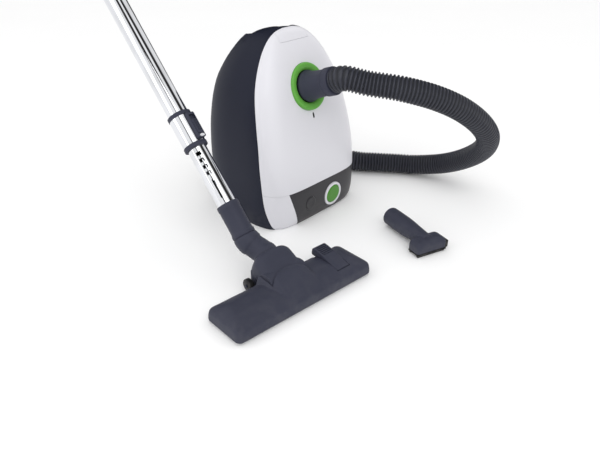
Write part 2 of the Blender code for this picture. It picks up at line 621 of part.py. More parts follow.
def make_hose():
    path = smooth_path(ROUTE, 0.034)
    path.insert(1, path[0] + INLET_WAY * 0.008)
    path.insert(-1, path[-1] - GRIP_WAY * 0.008)
    data = bpy.data.curves.new("hose", "CURVE")
    data.dimensions = "3D"
    data.bevel_depth = HOSE_DIAMETER / 2
    data.bevel_resolution = 3
    data.use_fill_caps = True
    line = data.splines.new("POLY")
    line.points.add(len(path) - 1)
    for point, at in zip(line.points, path):
        point.co = (*at, 1.0)
    hose = bpy.data.objects.new("hose", data)
    PARTS.objects.link(hose)
    data.materials.append(material("hose_dark"))

    inlet_at = frame_at(INLET, INLET_WAY, (1, 0, 0))
    r = HOSE_DIAMETER / 2
    node("inlet_cuff", turned([(0.0165, -0.0100), (0.0198, -0.0100), (0.0202, 0.0000), (0.0275, 0.0010),
                               (0.0278, 0.0050), (0.0262, 0.0085), (0.0245, 0.0150), (r + 0.0020, 0.0300),
                               (r + 0.0018, 0.0465), (r + 0.0032, 0.0480), (r + 0.0032, 0.0625),
                               (r + 0.0024, CUFF_LENGTH), (0.0165, CUFF_LENGTH)], 18), "hose_dark", inlet_at)

    start = HOSE_END + GRIP_WAY * RUN_GAP
    at = frame_at(start, GRIP_WAY, (0, 0, 1))
    node("grip_cuff", turned([(0.0165, 0.0), (r + 0.0030, 0.0), (r + 0.0034, 0.0020), (r + 0.0034, 0.0160),
                              (r + 0.0010, 0.0180), (0.0205, 0.0450), (0.0165, 0.0450)], 16), "hose_dark", at)
    joint = start + GRIP_WAY * (0.0450 + RUN_GAP)
    side = Vector((GRIP_WAY.y, -GRIP_WAY.x, 0.0))
    bend = []
    for ahead, across, drop in ((0.0, 0.0, 0.0), (0.025, 0.0, 0.0), (0.055, 0.003, 0.0020), (0.085, 0.012, 0.0040),
                                (0.113, 0.026, 0.0060), (0.141, 0.043, 0.0080), (0.172, 0.063, 0.0090)):
        bend.append(joint + GRIP_WAY * ahead - side * across - Vector((0, 0, drop)))
    outer = [0.0215, 0.0200, 0.0185, 0.0180, 0.0175, 0.0165, 0.0155]
    grip = node("grip", loft(sweep(bend, outer, 16)), "slate_plastic")
    inner = [bend[0] - GRIP_WAY * 0.01] + bend[1:-1] + [bend[-1] + (bend[-1] - bend[-2]).normalized() * 0.01]
    bow = [joint + GRIP_WAY * 0.018 + side * -0.012, joint + GRIP_WAY * 0.030 + side * -0.034,
           joint + GRIP_WAY * 0.060 + side * -0.052, joint + GRIP_WAY * 0.095 + side * -0.062,
           joint + GRIP_WAY * 0.122 + side * -0.058, joint + GRIP_WAY * 0.136 + side * -0.042]
    add(grip, helper("grip_bow", loft(sweep(bow, [0.010, 0.0095, 0.0095, 0.0095, 0.0095, 0.0095], 8))))
    cut(grip, helper("grip_bore", loft(sweep(inner, [0.0160, 0.0155, 0.0150, 0.0148, 0.0145, 0.0138, 0.0130], 12))))
    slot_at = frame_at(joint + GRIP_WAY * 0.040 + Vector((0, 0, 0)), GRIP_WAY, (0, 0, 1))
    cut(grip, helper("slider_seat", box((0.0168, -0.0082, -0.0165), (0.03, 0.0082, 0.0165)), slot_at))
    cut(grip, helper("air_hole", box((0.005, -0.0035, -0.0070), (0.03, 0.0035, 0.0070)), slot_at))
    node("air_slider", box((0.0171, -0.0070, -0.0145), (0.0212, 0.0070, 0.0045), 0.0010, 1), "hose_dark", slot_at)


# ---------------------------------------------------------------- wand
WAND_AT = frame_at(WAND_FOOT, WAND_WAY, (-0.636, -0.544, 0.543))
INNER_R = WAND_DIAMETER / 2 - TUBE_WALL - RUN_GAP
SOCKET_LENGTH = 0.0580


def make_wand():
    r, q = WAND_DIAMETER / 2, INNER_R
    low = WAND_SHOWING
    tube_low = low + COLLAR_LENGTH - 0.026
    tube_high = tube_low + WAND_UPPER_LENGTH
    node("outer_tube", turned([(r - TUBE_WALL, tube_low), (r, tube_low), (r, tube_high - 0.002),
                               (r - TUBE_WALL, tube_high - 0.002)], 18), "chrome", WAND_AT)
    node("tube_end_ring", turned([(r - TUBE_WALL, tube_high - 0.0017), (r + 0.0020, tube_high - 0.0017),
                                  (r + 0.0020, tube_high + 0.008), (r + 0.0005, tube_high + 0.010),
                                  (r - TUBE_WALL, tube_high + 0.010)], 16), "slate_plastic", WAND_AT)
    inner_high = low + 0.300
    inner = node("inner_tube", turned([(q - 0.0016, 0.022), (q, 0.022), (q, inner_high), (q - 0.0016, inner_high)], 18),
                 "chrome", WAND_AT)
    for k in range(4):
        z = low - 0.012 - 0.0115 * k
        notch = box((q - 0.0010, -0.0042, z - 0.0030), (q + 0.01, 0.0042, z + 0.0030))
        cut(inner, helper("tube_notch_%d" % k, notch, WAND_AT))
    cut(inner, helper("tube_groove", box((q - 0.0006, -0.0012, SOCKET_LENGTH + 0.006), (q + 0.01, 0.0012, low + 0.02)), WAND_AT))

    c = r + 0.0022
    top = low + COLLAR_LENGTH
    collar = node("lock_collar", turned([(q + RUN_GAP, low), (c, low), (c + 0.0006, low + 0.002), (c + 0.0006, low + 0.007),
                                         (c, low + 0.009), (c, top - 0.008), (c + 0.0006, top - 0.006),
                                         (c + 0.0006, top - 0.001), (c, top), (r + RUN_GAP, top),
                                         (r + RUN_GAP, tube_low - 0.0004), (q + RUN_GAP, tube_low - 0.0004)], 18),
                  "chrome", WAND_AT)
    turn = WAND_AT @ Matrix.Rotation(math.radians(52), 4, "Z")
    add(collar, helper("collar_block", box((c - 0.0010, -0.0085, low + 0.010), (c + 0.0062, 0.0085, low + 0.054), 0.002, 2), turn))
    cut(collar, helper("slider_track", box((c + 0.0022, -0.0062, low + 0.015), (c + 0.02, 0.0062, low + 0.049)), turn))
    node("lock_slider", box((c + 0.0025, -0.0058, low + 0.0155), (c + 0.0082, 0.0058, low + 0.0405), 0.0012, 1),
         "hose_dark", turn)


# ---------------------------------------------------------------- floor head
HEAD_AT = Matrix.Translation((*HEAD_CENTRE, 0.0)) @ Matrix.Rotation(math.radians(HEAD_TURN), 4, "Z")
DRUM = Vector((0.0, 0.0220, 0.0245))
NECK_WAY = Vector((0.0, 0.905, 0.425)).normalized()
NECK_END = DRUM + NECK_WAY * 0.0430


def rounded(half_x, half_y, radius, z, centre_y=0.0, steps=3):
    """A level ring: a rectangle with round corners."""
    ring = []
    for k, (sx, sy) in enumerate(((1, 1), (-1, 1), (-1, -1), (1, -1))):
        for i in range(steps + 1):
            angle = math.pi / 2 * (k + i / steps)
            ring.append((sx * (half_x - radius) + radius * math.cos(angle),
                         centre_y + sy * (half_y - radius) + radius * math.sin(angle), z))
    return ring


def make_head():
    hx, hy, top = HEAD_WIDTH / 2, HEAD_DEPTH / 2, HEAD_HEIGHT
    rings = [rounded(hx - 0.0015, hy - 0.0015, 0.010, 0.0030), rounded(hx, hy, 0.011, 0.0065),
             rounded(hx, hy, 0.011, 0.0150), rounded(hx - 0.003, hy - 0.0035, 0.011, 0.72 * top, 0.0010),
             rounded(hx - 0.0075, hy - 0.0090, 0.011, 0.92 * top, 0.0025),
             rounded(hx - 0.0140, hy - 0.0160, 0.011, top, 0.0040)]
    shell = node("head_shell", loft(rings), "slate_plastic", HEAD_AT)
    add(shell, helper("head_hump", ball((0.062, 0.036, 0.024), (0, 0.002, 0.0200), 18), HEAD_AT))
    lift = helper("head_under", box((-hx, -2 * hy, -0.05), (hx, 2 * hy, 0.0030)), HEAD_AT)
    behind = helper("head_behind", box((-hx, hy, -0.05), (hx, 2 * hy, 0.08)), HEAD_AT)
    drum_at = HEAD_AT @ frame_at(DRUM, (1, 0, 0), (0, 0, 1))
    notch = helper("neck_notch", rod(0.0205, -0.0368, 0.0368, 24), drum_at)
    slot = helper("neck_slot", box((-0.0368, DRUM.y, -0.01), (0.0368, 0.06, 0.08)), HEAD_AT)
    slot_low = helper("neck_slot_low", box((-0.0368, 0.0, -0.01), (0.0368, 0.06, DRUM.z)), HEAD_AT)
    channel = helper("air_channel", box((-0.86 * hx, -0.0225, -0.01), (0.86 * hx, -0.0040, 0.0170)), HEAD_AT)
    throat = helper("air_throat", box((-0.0250, -0.0200, 0.0040), (0.0250, 0.0020, 0.0170)), HEAD_AT)
    strip_gap = helper("strip_gap", box((-0.86 * hx, -0.0315, -0.01), (0.86 * hx, -0.0250, 0.0175)), HEAD_AT)
    px = PEDAL_U
    pedal_gap = helper("pedal_gap", box((px - 0.0134, -0.0240, 0.0190), (px + 0.0134, 0.06, 0.08)), HEAD_AT)
    cut(shell, lift, behind, notch, slot, slot_low, channel, throat, strip_gap, pedal_gap)

    sole = node("sole_plate", loft([rounded(hx - 0.004, hy - 0.004, 0.010, 0.0), rounded(hx - 0.003, hy - 0.003, 0.010, 0.0012),
                                    rounded(hx - 0.003, hy - 0.003, 0.010, 0.0027)]), "steel", HEAD_AT)
    cut(sole, helper("sole_slot", box((-0.82 * hx, -0.0215, -0.01), (0.82 * hx, -0.0060, 0.01)), HEAD_AT),
        helper("sole_strip_slot", box((-0.82 * hx, -0.0312, -0.01), (0.82 * hx, -0.0253, 0.01)), HEAD_AT),
        helper("sole_notch", box((-0.0372, 0.0, -0.01), (0.0372, 0.06, 0.01)), HEAD_AT))
    strip = node("brush_strip", box((-0.80 * hx, -0.0303, 0.0008), (0.80 * hx, -0.0262, 0.0070)), "bristle", HEAD_AT)
    add(strip, helper("strip_holder", box((-0.845 * hx, -0.0309, 0.0060), (0.845 * hx, -0.0256, 0.0115)), HEAD_AT))

    pedal_at = pedal_matrix()
    pedal = node("pedal", prism([(-0.0305, -0.0030), (0.0295, -0.0030), (0.0305, 0.0010), (0.0300, 0.0075),
                                 (0.0250, 0.0110), (0.0100, 0.0100), (-0.0100, 0.0065), (-0.0305, 0.0040)],
                                -0.0128, 0.0128), "slate_plastic", pedal_at)
    for k in range(6):
        y = 0.0060 + 0.0035 * k
        cut(pedal, helper("pedal_rib_%d" % k, box((-0.0100, y, 0.0088), (0.0100, y + 0.0015, 0.02)), pedal_at))


PEDAL_U = 0.0850 / 0.267 * HEAD_WIDTH


def pedal_matrix():
    return HEAD_AT @ Matrix.Translation((PEDAL_U, 0.0080, 0.0270)) @ Matrix.Rotation(math.radians(7), 4, "X")


def oval(centre, way, wide, high, power, count=20):
    """A ring square to way: wide along local X, high along the other direction."""
    z = Vector(way).normalized()
    x = Vector((1, 0, 0))
    y = z.cross(x).normalized()
    ring = []
    for k in range(count):
        angle = 2 * math.pi * k / count
        c, s = math.cos(angle), math.sin(angle)
        ring.append(Vector(centre) + x * wide * math.copysign(abs(c) ** (2 / power), c)
                    + y * high * math.copysign(abs(s) ** (2 / power), s))
    return ring


def make_neck():
    drum_at = HEAD_AT @ frame_at(DRUM, (1, 0, 0), (0, 0, 1))
    neck = node("neck", rod(0.0185, -0.0362, 0.0362, 24), "slate_plastic", drum_at)
    arm = [oval(DRUM + NECK_WAY * 0.002, NECK_WAY, 0.0355, 0.0168, 4.0), oval(DRUM + NECK_WAY * 0.020, NECK_WAY, 0.0362, 0.0180, 4.0),
           oval(DRUM + NECK_WAY * 0.036, NECK_WAY, 0.0345, 0.0222, 3.4), oval(NECK_END, NECK_WAY, 0.0285, 0.0222, 2.8)]
    add(neck, helper("neck_arm", loft(arm), HEAD_AT))
    for side in (-1, 1):
        leg = box((side * 0.0310 - 0.0035, 0.0480, 0.0065), (side * 0.0310 + 0.0035, 0.0620, 0.0330), 0.0015, 1)
        add(neck, helper("wheel_leg_%d" % (side + 1), leg, HEAD_AT))
    axle_at = HEAD_AT @ frame_at((0, 0.0560, 0.0113), (1, 0, 0), (0, 0, 1))
    add(neck, helper("neck_axle", rod(0.0025, -0.0490, 0.0490, 12), axle_at))
    bore_at = HEAD_AT @ frame_at(DRUM, NECK_WAY, (1, 0, 0))
    cut(neck, helper("neck_bore", rod(0.0140, -0.002, 0.06, 28), bore_at))
    mouth = box((-0.0240, -0.03, -0.0090), (0.0240, 0.004, 0.0070))
    cut(neck, helper("drum_mouth", mouth, HEAD_AT @ Matrix.Translation(DRUM)))
    for side, word in ((-1, "left"), (1, "right")):
        wheel = turned([(0.0028, -0.0042), (0.0100, -0.0042), (0.0110, -0.0032), (0.0110, 0.0032), (0.0100, 0.0042),
                        (0.0028, 0.0042)], 18)
        node("head_wheel_" + word, wheel, "black_plastic", axle_at @ Matrix.Translation((0, 0, side * 0.0425)))

    foot = HEAD_AT.inverted() @ WAND_AT
    way = foot.to_3x3() @ Vector((0, 0, 1))
    start = NECK_END + NECK_WAY * RUN_GAP
    end = foot.translation - way * RUN_GAP
    run = (end - start).length
    path = []
    for t in (0.0, 0.16, 0.33, 0.5, 0.67, 0.84, 1.0):
        p1, p2 = start + NECK_WAY * run * 0.36, end - way * run * 0.36
        path.append(start * (1 - t) ** 3 + p1 * 3 * t * (1 - t) ** 2 + p2 * 3 * t * t * (1 - t) + end * t ** 3)
    elbow = node("elbow", loft(sweep(path, [0.0205, 0.0203, 0.0200, 0.0196, 0.0192, 0.0189, 0.0188], 16, (NECK_WAY, way))),
                 "slate_plastic", HEAD_AT)
    bore = [path[0] - NECK_WAY * 0.01] + path[1:-1] + [path[-1] + way * 0.01]
    cut(elbow, helper("elbow_bore", loft(sweep(bore, [0.0140] * 7, 12, (NECK_WAY, way))), HEAD_AT))
    q, out = INNER_R + RUN_GAP, INNER_R + 0.0024
    node("pipe_socket", turned([(0.0140, 0.0), (0.0188, 0.0), (0.0194, 0.0015), (0.0194, 0.0060), (out + 0.0005, 0.0080),
                                (out, 0.0500), (out + 0.0008, 0.0512), (out + 0.0008, SOCKET_LENGTH - 0.001),
                                (out, SOCKET_LENGTH), (q, SOCKET_LENGTH), (q, 0.0216), (0.0140, 0.0216)], 18),
         "slate_plastic", WAND_AT)


# ---------------------------------------------------------------- hand tool
TOOL_AT = Matrix.Translation((*TOOL_CENTRE, 0.0)) @ Matrix.Rotation(math.radians(TOOL_TURN), 4, "Z")


def make_tool():
    lift = math.radians(-1.3)
    tube_way = Vector((0.0, -math.cos(lift), math.sin(lift)))
    tube_at = TOOL_AT @ frame_at((0.002, 0.044, 0.0193), tube_way, (1, 0, 0))
    tool = node("tool_body", turned([(0.0, 0.0), (0.0125, 0.0), (0.0145, 0.030), (0.0162, 0.052), (0.0168, 0.066), (0.0168, 0.104),
                                     (0.0160, 0.106), (0.0, 0.106)], 16), "slate_plastic", tube_at)
    head = [rounded(0.0300, 0.0135, 0.005, 0.0060, 0.0450), rounded(0.0305, 0.0140, 0.005, 0.0100, 0.0450),
            rounded(0.0305, 0.0140, 0.005, 0.0190, 0.0450), rounded(0.0270, 0.0120, 0.005, 0.0250, 0.0440),
            rounded(0.0190, 0.0090, 0.004, 0.0280, 0.0430)]
    add(tool, helper("tool_head", loft(head), TOOL_AT))
    cut(tool, helper("tool_bore", rod(0.0110, 0.020, 0.14, 24, 0.0150), tube_at))
    cut(tool, helper("tool_throat", box((-0.0100, 0.0200, 0.0120), (0.0100, 0.0460, 0.0200)), TOOL_AT))
    cut(tool, helper("tool_mouth", box((-0.0260, 0.0400, -0.01), (0.0260, 0.0500, 0.0160)), TOOL_AT))
    brush = node("tool_brush", loft([rounded(0.0300, 0.0160, 0.005, 0.0, 0.0455), rounded(0.0295, 0.0140, 0.005, 0.0050, 0.0450)]),
                 "bristle", TOOL_AT)
    add(brush, helper("brush_end", box((-0.0370, 0.0330, 0.0006), (-0.0308, 0.0570, 0.0170), 0.0010, 1), TOOL_AT),
        helper("brush_web", box((-0.0340, 0.0380, 0.0008), (-0.0280, 0.0520, 0.0046)), TOOL_AT))
    cut(brush, helper("brush_mouth", box((-0.0255, 0.0395, -0.01), (0.0255, 0.0505, 0.02)), TOOL_AT))


make_shells()
make_front_fittings()
make_wheels()
make_insides()
make_hose()
make_wand()
make_head()
make_neck()
make_tool()
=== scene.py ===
# %% [markdown]
# # A canister vacuum cleaner
# The real thing is five groups of parts: a body of moulded shells that stands on its end, a corrugated
# hose that leaves the lid through a green ring, a telescopic tube with a floor head, and a small hand tool.
# The solids that move and carry load are already made and packed. They are loaded here as a fixed frame,
# and this lesson gives them their finished shapes and finishes. Loading them, and not modelling them again,
# keeps every hinge and slide where it belongs.

import json
import math
import random

import bmesh
import bpy
from mathutils import Matrix, Vector

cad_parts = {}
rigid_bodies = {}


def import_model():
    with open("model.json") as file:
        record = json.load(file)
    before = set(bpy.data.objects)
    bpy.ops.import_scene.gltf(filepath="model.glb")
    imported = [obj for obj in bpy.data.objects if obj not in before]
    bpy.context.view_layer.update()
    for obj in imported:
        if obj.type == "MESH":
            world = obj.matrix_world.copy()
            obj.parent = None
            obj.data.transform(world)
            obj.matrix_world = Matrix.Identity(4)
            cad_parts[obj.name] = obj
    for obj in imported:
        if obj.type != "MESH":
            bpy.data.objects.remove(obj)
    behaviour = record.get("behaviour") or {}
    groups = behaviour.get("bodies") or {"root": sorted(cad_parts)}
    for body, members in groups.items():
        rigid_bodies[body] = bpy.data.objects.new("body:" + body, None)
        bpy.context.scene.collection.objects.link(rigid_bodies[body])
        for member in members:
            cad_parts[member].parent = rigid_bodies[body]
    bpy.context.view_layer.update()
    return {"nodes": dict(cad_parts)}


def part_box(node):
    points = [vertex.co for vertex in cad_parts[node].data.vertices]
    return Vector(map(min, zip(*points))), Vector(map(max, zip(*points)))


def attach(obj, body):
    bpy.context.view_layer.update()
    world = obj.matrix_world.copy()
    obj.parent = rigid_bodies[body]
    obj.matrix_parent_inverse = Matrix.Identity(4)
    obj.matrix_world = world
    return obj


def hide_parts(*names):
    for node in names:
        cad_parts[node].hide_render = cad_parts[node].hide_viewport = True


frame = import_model()
scene = bpy.context.scene

# %% [markdown]
# ## Camera
# A product picture of a cleaner is taken from standing height, looking down at the lid. A lens as long as the
# sensor is wide gives that mild perspective. The camera comes first, because the hose has to lie where this
# view sees it.

# %% Camera
camera_data = bpy.data.cameras.new("camera")
camera_data.lens = 36.0
camera_data.sensor_width = 36.0
camera_data.clip_end = 60.0
camera = bpy.data.objects.new("camera", camera_data)
camera.location = (-0.770, -0.779, 0.556)
camera.rotation_euler = (math.radians(60.0), 0.0, math.radians(-47.47))
scene.collection.objects.link(camera)
scene.camera = camera
scene.view_settings.view_transform = "Standard"
print("camera looks along", [round(x, 3) for x in camera.matrix_world.to_3x3() @ Vector((0, 0, -1))])

# %% [markdown]
# ## Shader arithmetic
# A finish is arithmetic on patterns: a colour plus a little noise, a roughness that falls where a hand rubs.
# Nodes could be added and linked one by one, but the sums are easier to read as sums. The first class lets a
# socket take + - * / and **. The second holds one material and adds any node.

# %% Sockets that take arithmetic
class Field:
    """A number that varies over a surface, held by a shader socket."""

    def __init__(self, finish, socket):
        self.finish, self.socket = finish, socket

    def sum(self, operation, first, second):
        return self.finish.node("ShaderNodeMath", {"operation": operation}, {0: first, 1: second})

    def __add__(self, other):
        return self.sum("ADD", self, other)

    def __sub__(self, other):
        return self.sum("SUBTRACT", self, other)

    def __rsub__(self, other):
        return self.sum("SUBTRACT", other, self)

    def __mul__(self, other):
        return self.sum("MULTIPLY", self, other)

    def __truediv__(self, other):
        return self.sum("DIVIDE", self, other)

    def __pow__(self, other):
        return self.sum("POWER", self, other)

    __radd__, __rmul__ = __add__, __mul__


# %% A finish and its nodes
class Finish:
    """One material. node() adds a node, sets it up, and returns one of its outputs."""

    def __init__(self, name):
        self.material = bpy.data.materials.new(name)
        self.material.use_nodes = True
        self.tree = self.material.node_tree
        self.shader = self.tree.nodes["Principled BSDF"]
        self.place = self.node("ShaderNodeTexCoord", output="Object")

    def node(self, kind, settings=None, sockets=None, output=0):
        made = self.tree.nodes.new(kind)
        for key, value in (settings or {}).items():
            if key == "stops":
                ramp = made.color_ramp
                for at, shade in value[2:]:
                    ramp.elements.new(at)
                for element, (at, shade) in zip(ramp.elements, sorted(value)):
                    element.position, element.color = at, (shade, shade, shade, 1.0)
            else:
                setattr(made, key, value)
        for key, value in (sockets or {}).items():
            self.feed(made.inputs[key], value)
        return Field(self, made.outputs[output])

    def feed(self, socket, value):
        if isinstance(value, Field):
            self.tree.links.new(value.socket, socket)
        else:
            socket.default_value = value

    def set(self, **sockets):
        for name, value in sockets.items():
            self.feed(self.shader.inputs[name.replace("_", " ")], value)
        return self

    def noise(self, scale, detail=3.0, stretch=None):
        where = self.place
        if stretch is not None:
            where = self.node("ShaderNodeMapping", {}, {"Vector": where, "Scale": stretch})
        return self.node("ShaderNodeTexNoise", {}, {"Vector": where, "Scale": scale, "Detail": detail},
                         "Fac")

    def cells(self, scale, feature="F1"):
        return self.node("ShaderNodeTexVoronoi", {"feature": feature},
                         {"Vector": self.place, "Scale": scale}, "Distance")

    def between(self, low, high, share):
        """A colour from low to high as share goes from 0 to 1."""
        made = self.node("ShaderNodeMix", {"data_type": "RGBA"}, output=2)
        inputs = made.socket.node.inputs
        for socket, value in ((inputs[0], share), (inputs[6], low), (inputs[7], high)):
            self.feed(socket, value)
        return made

    def step(self, value, low, high):
        """0 below low, 1 above high, and smooth between."""
        return self.node("ShaderNodeMapRange", {"interpolation_type": "SMOOTHSTEP"},
                         {"Value": value, "From Min": low, "From Max": high})

    def height(self):
        return self.node("ShaderNodeSeparateXYZ", {}, {0: self.place}, "Z")

    def bump(self, field, distance, strength=1.0):
        self.set(Normal=self.node("ShaderNodeBump", {}, {"Height": field, "Distance": distance,
                                                         "Strength": strength}))
        return self


def rgb(red, green, blue):
    return (red, green, blue, 1.0)


# %% [markdown]
# ## Moulded plastic
# Every shell is injection moulded. The mould is spark eroded, which leaves a grain of fine pits on matt parts,
# or polished, which leaves a gloss with a faint waviness. Both also gather a little dust where nobody wipes
# them, near the floor. One function can give them all: it takes the colour, how rough the skin is, and the
# size and depth of the grain.

# %% Moulded plastic
def moulded(name, colour, rough, grain, depth, mottle=0.10, coat=0.0, dust=0.10):
    f = Finish(name)
    cloud = f.noise(14.0, 4.0)
    speck = f.noise(grain * 0.5, 2.0)
    low = rgb(*(c * (1.0 - mottle) for c in colour))
    high = rgb(*(min(c * (1.0 + mottle) + 0.002, 1.0) for c in colour))
    skin = f.between(low, high, cloud * 0.7 + speck * 0.3)
    dusty = (1.0 - f.step(f.height(), 0.0, 0.05)) * f.step(f.noise(60.0, 4.0), 0.35, 0.75) * dust
    f.set(Base_Color=f.between(skin, rgb(0.42, 0.40, 0.37), dusty))
    f.set(Roughness=rough - 0.02 + cloud * 0.04 + speck * 0.04, Coat_Weight=coat, Specular_IOR_Level=0.22)
    f.bump(f.cells(grain) * 0.6 + f.noise(grain * 1.7, 2.0) * 0.4, depth, 0.55)
    return f.material


white = moulded("gloss_white_plastic", (0.700, 0.696, 0.735), 0.27, 1400.0, 0.00001, 0.012, 0.15, 0.03)
navy = moulded("grained_navy_plastic", (0.0065, 0.0085, 0.0215), 0.48, 1500.0, 0.00012, 0.10, 0.0, 0.05)
slate = moulded("grained_slate_plastic", (0.0360, 0.0385, 0.0600), 0.50, 1700.0, 0.00010, 0.10, 0.0, 0.05)
charcoal = moulded("satin_charcoal_plastic", (0.0360, 0.0345, 0.0390), 0.38, 1400.0, 0.00008, 0.08, 0.1,
                   0.05)
ring_green = moulded("green_ring_plastic", (0.115, 0.370, 0.055), 0.36, 900.0, 0.00005, 0.05, 0.1, 0.0)
button_green = moulded("green_button_plastic", (0.062, 0.230, 0.022), 0.32, 900.0, 0.00005, 0.06, 0.2, 0.0)
black = moulded("black_plastic", (0.0120, 0.0120, 0.0135), 0.42, 1600.0, 0.00010, 0.20, 0.0, 0.10)
print("plastics:", len([m for m in bpy.data.materials if "plastic" in m.name]))

# %% [markdown]
# ## Chrome, steel, rubber, paper and foam
# The tubes are chromed steel: a mirror with hair-fine marks round it where the tubes slide, and smudges from
# hands. The sole is brushed steel, the seals are rubber, the bag is fibrous paper and the filters are foam.
# Each differs from plastic in its pattern, so each has its own few lines.

# %% Metals
def chromed(name):
    f = Finish(name)
    smudge = f.step(f.noise(22.0, 5.0), 0.45, 0.70)
    marks = f.noise(900.0, 2.0, (0.06, 1.0, 1.0))
    f.set(Metallic=1.0, Base_Color=f.between(rgb(0.78, 0.79, 0.82), rgb(0.70, 0.71, 0.73), smudge))
    f.set(Roughness=0.045 + smudge * 0.05 + marks * 0.02)
    return f.bump(marks, 0.00001, 0.3).material


def brushed(name):
    f = Finish(name)
    grain = f.noise(500.0, 3.0, (0.03, 1.0, 1.0))
    f.set(Metallic=1.0, Base_Color=f.between(rgb(0.42, 0.43, 0.45), rgb(0.62, 0.63, 0.65), grain))
    f.set(Roughness=0.24 + grain * 0.16)
    return f.bump(grain, 0.00003, 0.5).material


chrome = chromed("chromed_tube")
steel = brushed("brushed_steel")


# %% Soft finishes
def rubbery(name):
    f = Finish(name)
    bloom = f.noise(45.0, 4.0)
    f.set(Base_Color=f.between(rgb(0.010, 0.010, 0.011), rgb(0.030, 0.029, 0.028), bloom))
    f.set(Roughness=0.68 + bloom * 0.15)
    return f.bump(f.noise(1100.0, 2.0), 0.00008, 0.6).material


def papery(name, colour):
    f = Finish(name)
    fibres = f.noise(420.0, 6.0, (1.0, 0.25, 1.0)) * 0.5 + f.noise(420.0, 6.0, (0.25, 1.0, 1.0)) * 0.5
    low, high = rgb(*(c * 0.74 for c in colour)), rgb(*(min(c * 1.12, 1.0) for c in colour))
    f.set(Base_Color=f.between(low, high, f.step(fibres, 0.30, 0.70)))
    f.set(Roughness=0.84 + fibres * 0.12)
    return f.bump(fibres + f.noise(30.0, 5.0) * 2.0, 0.0004, 0.5).material


def foamy(name):
    f = Finish(name)
    pores = f.cells(900.0)
    # Painted shade: the pits of the cells, which the bump sinks, are painted darker, standing in for shade inside
    # the pores.
    f.set(Base_Color=f.between(rgb(0.16, 0.17, 0.19), rgb(0.60, 0.62, 0.66), f.step(pores, 0.15, 0.60)))
    f.set(Roughness=0.92 + pores * 0.06)
    return f.bump(pores, 0.0008, 0.9).material


def bristly(name):
    f = Finish(name)
    hair = f.noise(1600.0, 3.0, (1.0, 1.0, 0.06))
    f.set(Base_Color=f.between(rgb(0.004, 0.004, 0.005), rgb(0.030, 0.030, 0.034), hair))
    f.set(Roughness=0.45 + hair * 0.25)
    return f.bump(hair, 0.0002, 0.7).material


rubber = rubbery("seal_rubber")
paper = papery("bag_paper", (0.62, 0.52, 0.38))
foam = foamy("filter_foam")
hair = bristly("brush_hair")
window = moulded("smoked_window", (0.016, 0.016, 0.020), 0.10, 500.0, 0.00002, 0.2, 0.8, 0.0)
print("finishes:", len(bpy.data.materials))


# %% [markdown]
# ## The hose finish
# A blown hose is smooth on its crests, where it rubs along the floor, and rougher in its valleys, which are
# painted darker as painted shade. Depth under the crest can't be read from a position in space, because the hose
# curves, so the mesh carries it: each ring of points stores how deep it lies in an attribute called valley.

# %% Hose finish
def hosed(name):
    f = Finish(name)
    deep = f.node("ShaderNodeAttribute", {"attribute_name": "valley"}, output="Fac")
    cloud = f.noise(35.0, 4.0)
    skin = f.between(rgb(0.016, 0.018, 0.030), rgb(0.026, 0.028, 0.042), cloud)
    # Painted shade: the valleys are painted darker, standing in for the shade that falls between the ribs.
    f.set(Base_Color=f.between(skin, rgb(0.014, 0.015, 0.020), deep * 0.75))
    f.set(Roughness=0.30 + deep * 0.25 + cloud * 0.10)
    return f.bump(f.noise(1300.0, 2.0), 0.00006, 0.5).material


hose_skin = hosed("hose_skin")
print("hose finish reads the attribute valley")

# %% [markdown]
# ## The hose
# The hose is one tube with a rib every 6 mm, held by a cuff at the lid and by the grip's cuff at the far end.
# It rises out of the lid, sags in a wide loop to the floor, and runs back past the body. A curve with a bevel
# can't have ribs, so the tube is made ring by ring along a smooth line through the route's points, and each
# ring's radius follows the rib.

# %% Where the hose runs
HOSE_DIAMETER = 0.042
FLOOR_Z = HOSE_DIAMETER / 2
INLET = Vector((0.0, -0.0921174, 0.2409990))
INLET_WAY = Vector((0.0, -math.cos(math.radians(20.0)), math.sin(math.radians(20.0))))
CUFF_LENGTH = 0.064
CUFF_END = INLET + INLET_WAY * CUFF_LENGTH
GRIP_WAY = Vector((0.737, 0.676, 0.0)).normalized()
HOSE_END = Vector((0.400, 0.297, 0.025))
ROUTE = [CUFF_END + INLET_WAY * 0.0003, CUFF_END + INLET_WAY * 0.022 + Vector((0.002, 0, 0))] + [
    Vector(p) for p in (
        (0.022, -0.206, 0.264), (0.054, -0.251, 0.257), (0.095, -0.290, 0.241), (0.136, -0.320, 0.217),
        (0.178, -0.338, 0.184), (0.217, -0.338, 0.147), (0.252, -0.315, 0.107), (0.277, -0.270, 0.067),
        (0.286, -0.215, 0.036), (0.268, -0.152, FLOOR_Z), (0.235, -0.100, FLOOR_Z),
        (0.203, -0.052, FLOOR_Z),
        (0.187, 0.004, FLOOR_Z), (0.194, 0.062, FLOOR_Z), (0.224, 0.115, FLOOR_Z), (0.268, 0.166, FLOOR_Z),
        (0.318, 0.218, FLOOR_Z), (0.362, 0.262, 0.025), (0.400, 0.297, 0.025))]


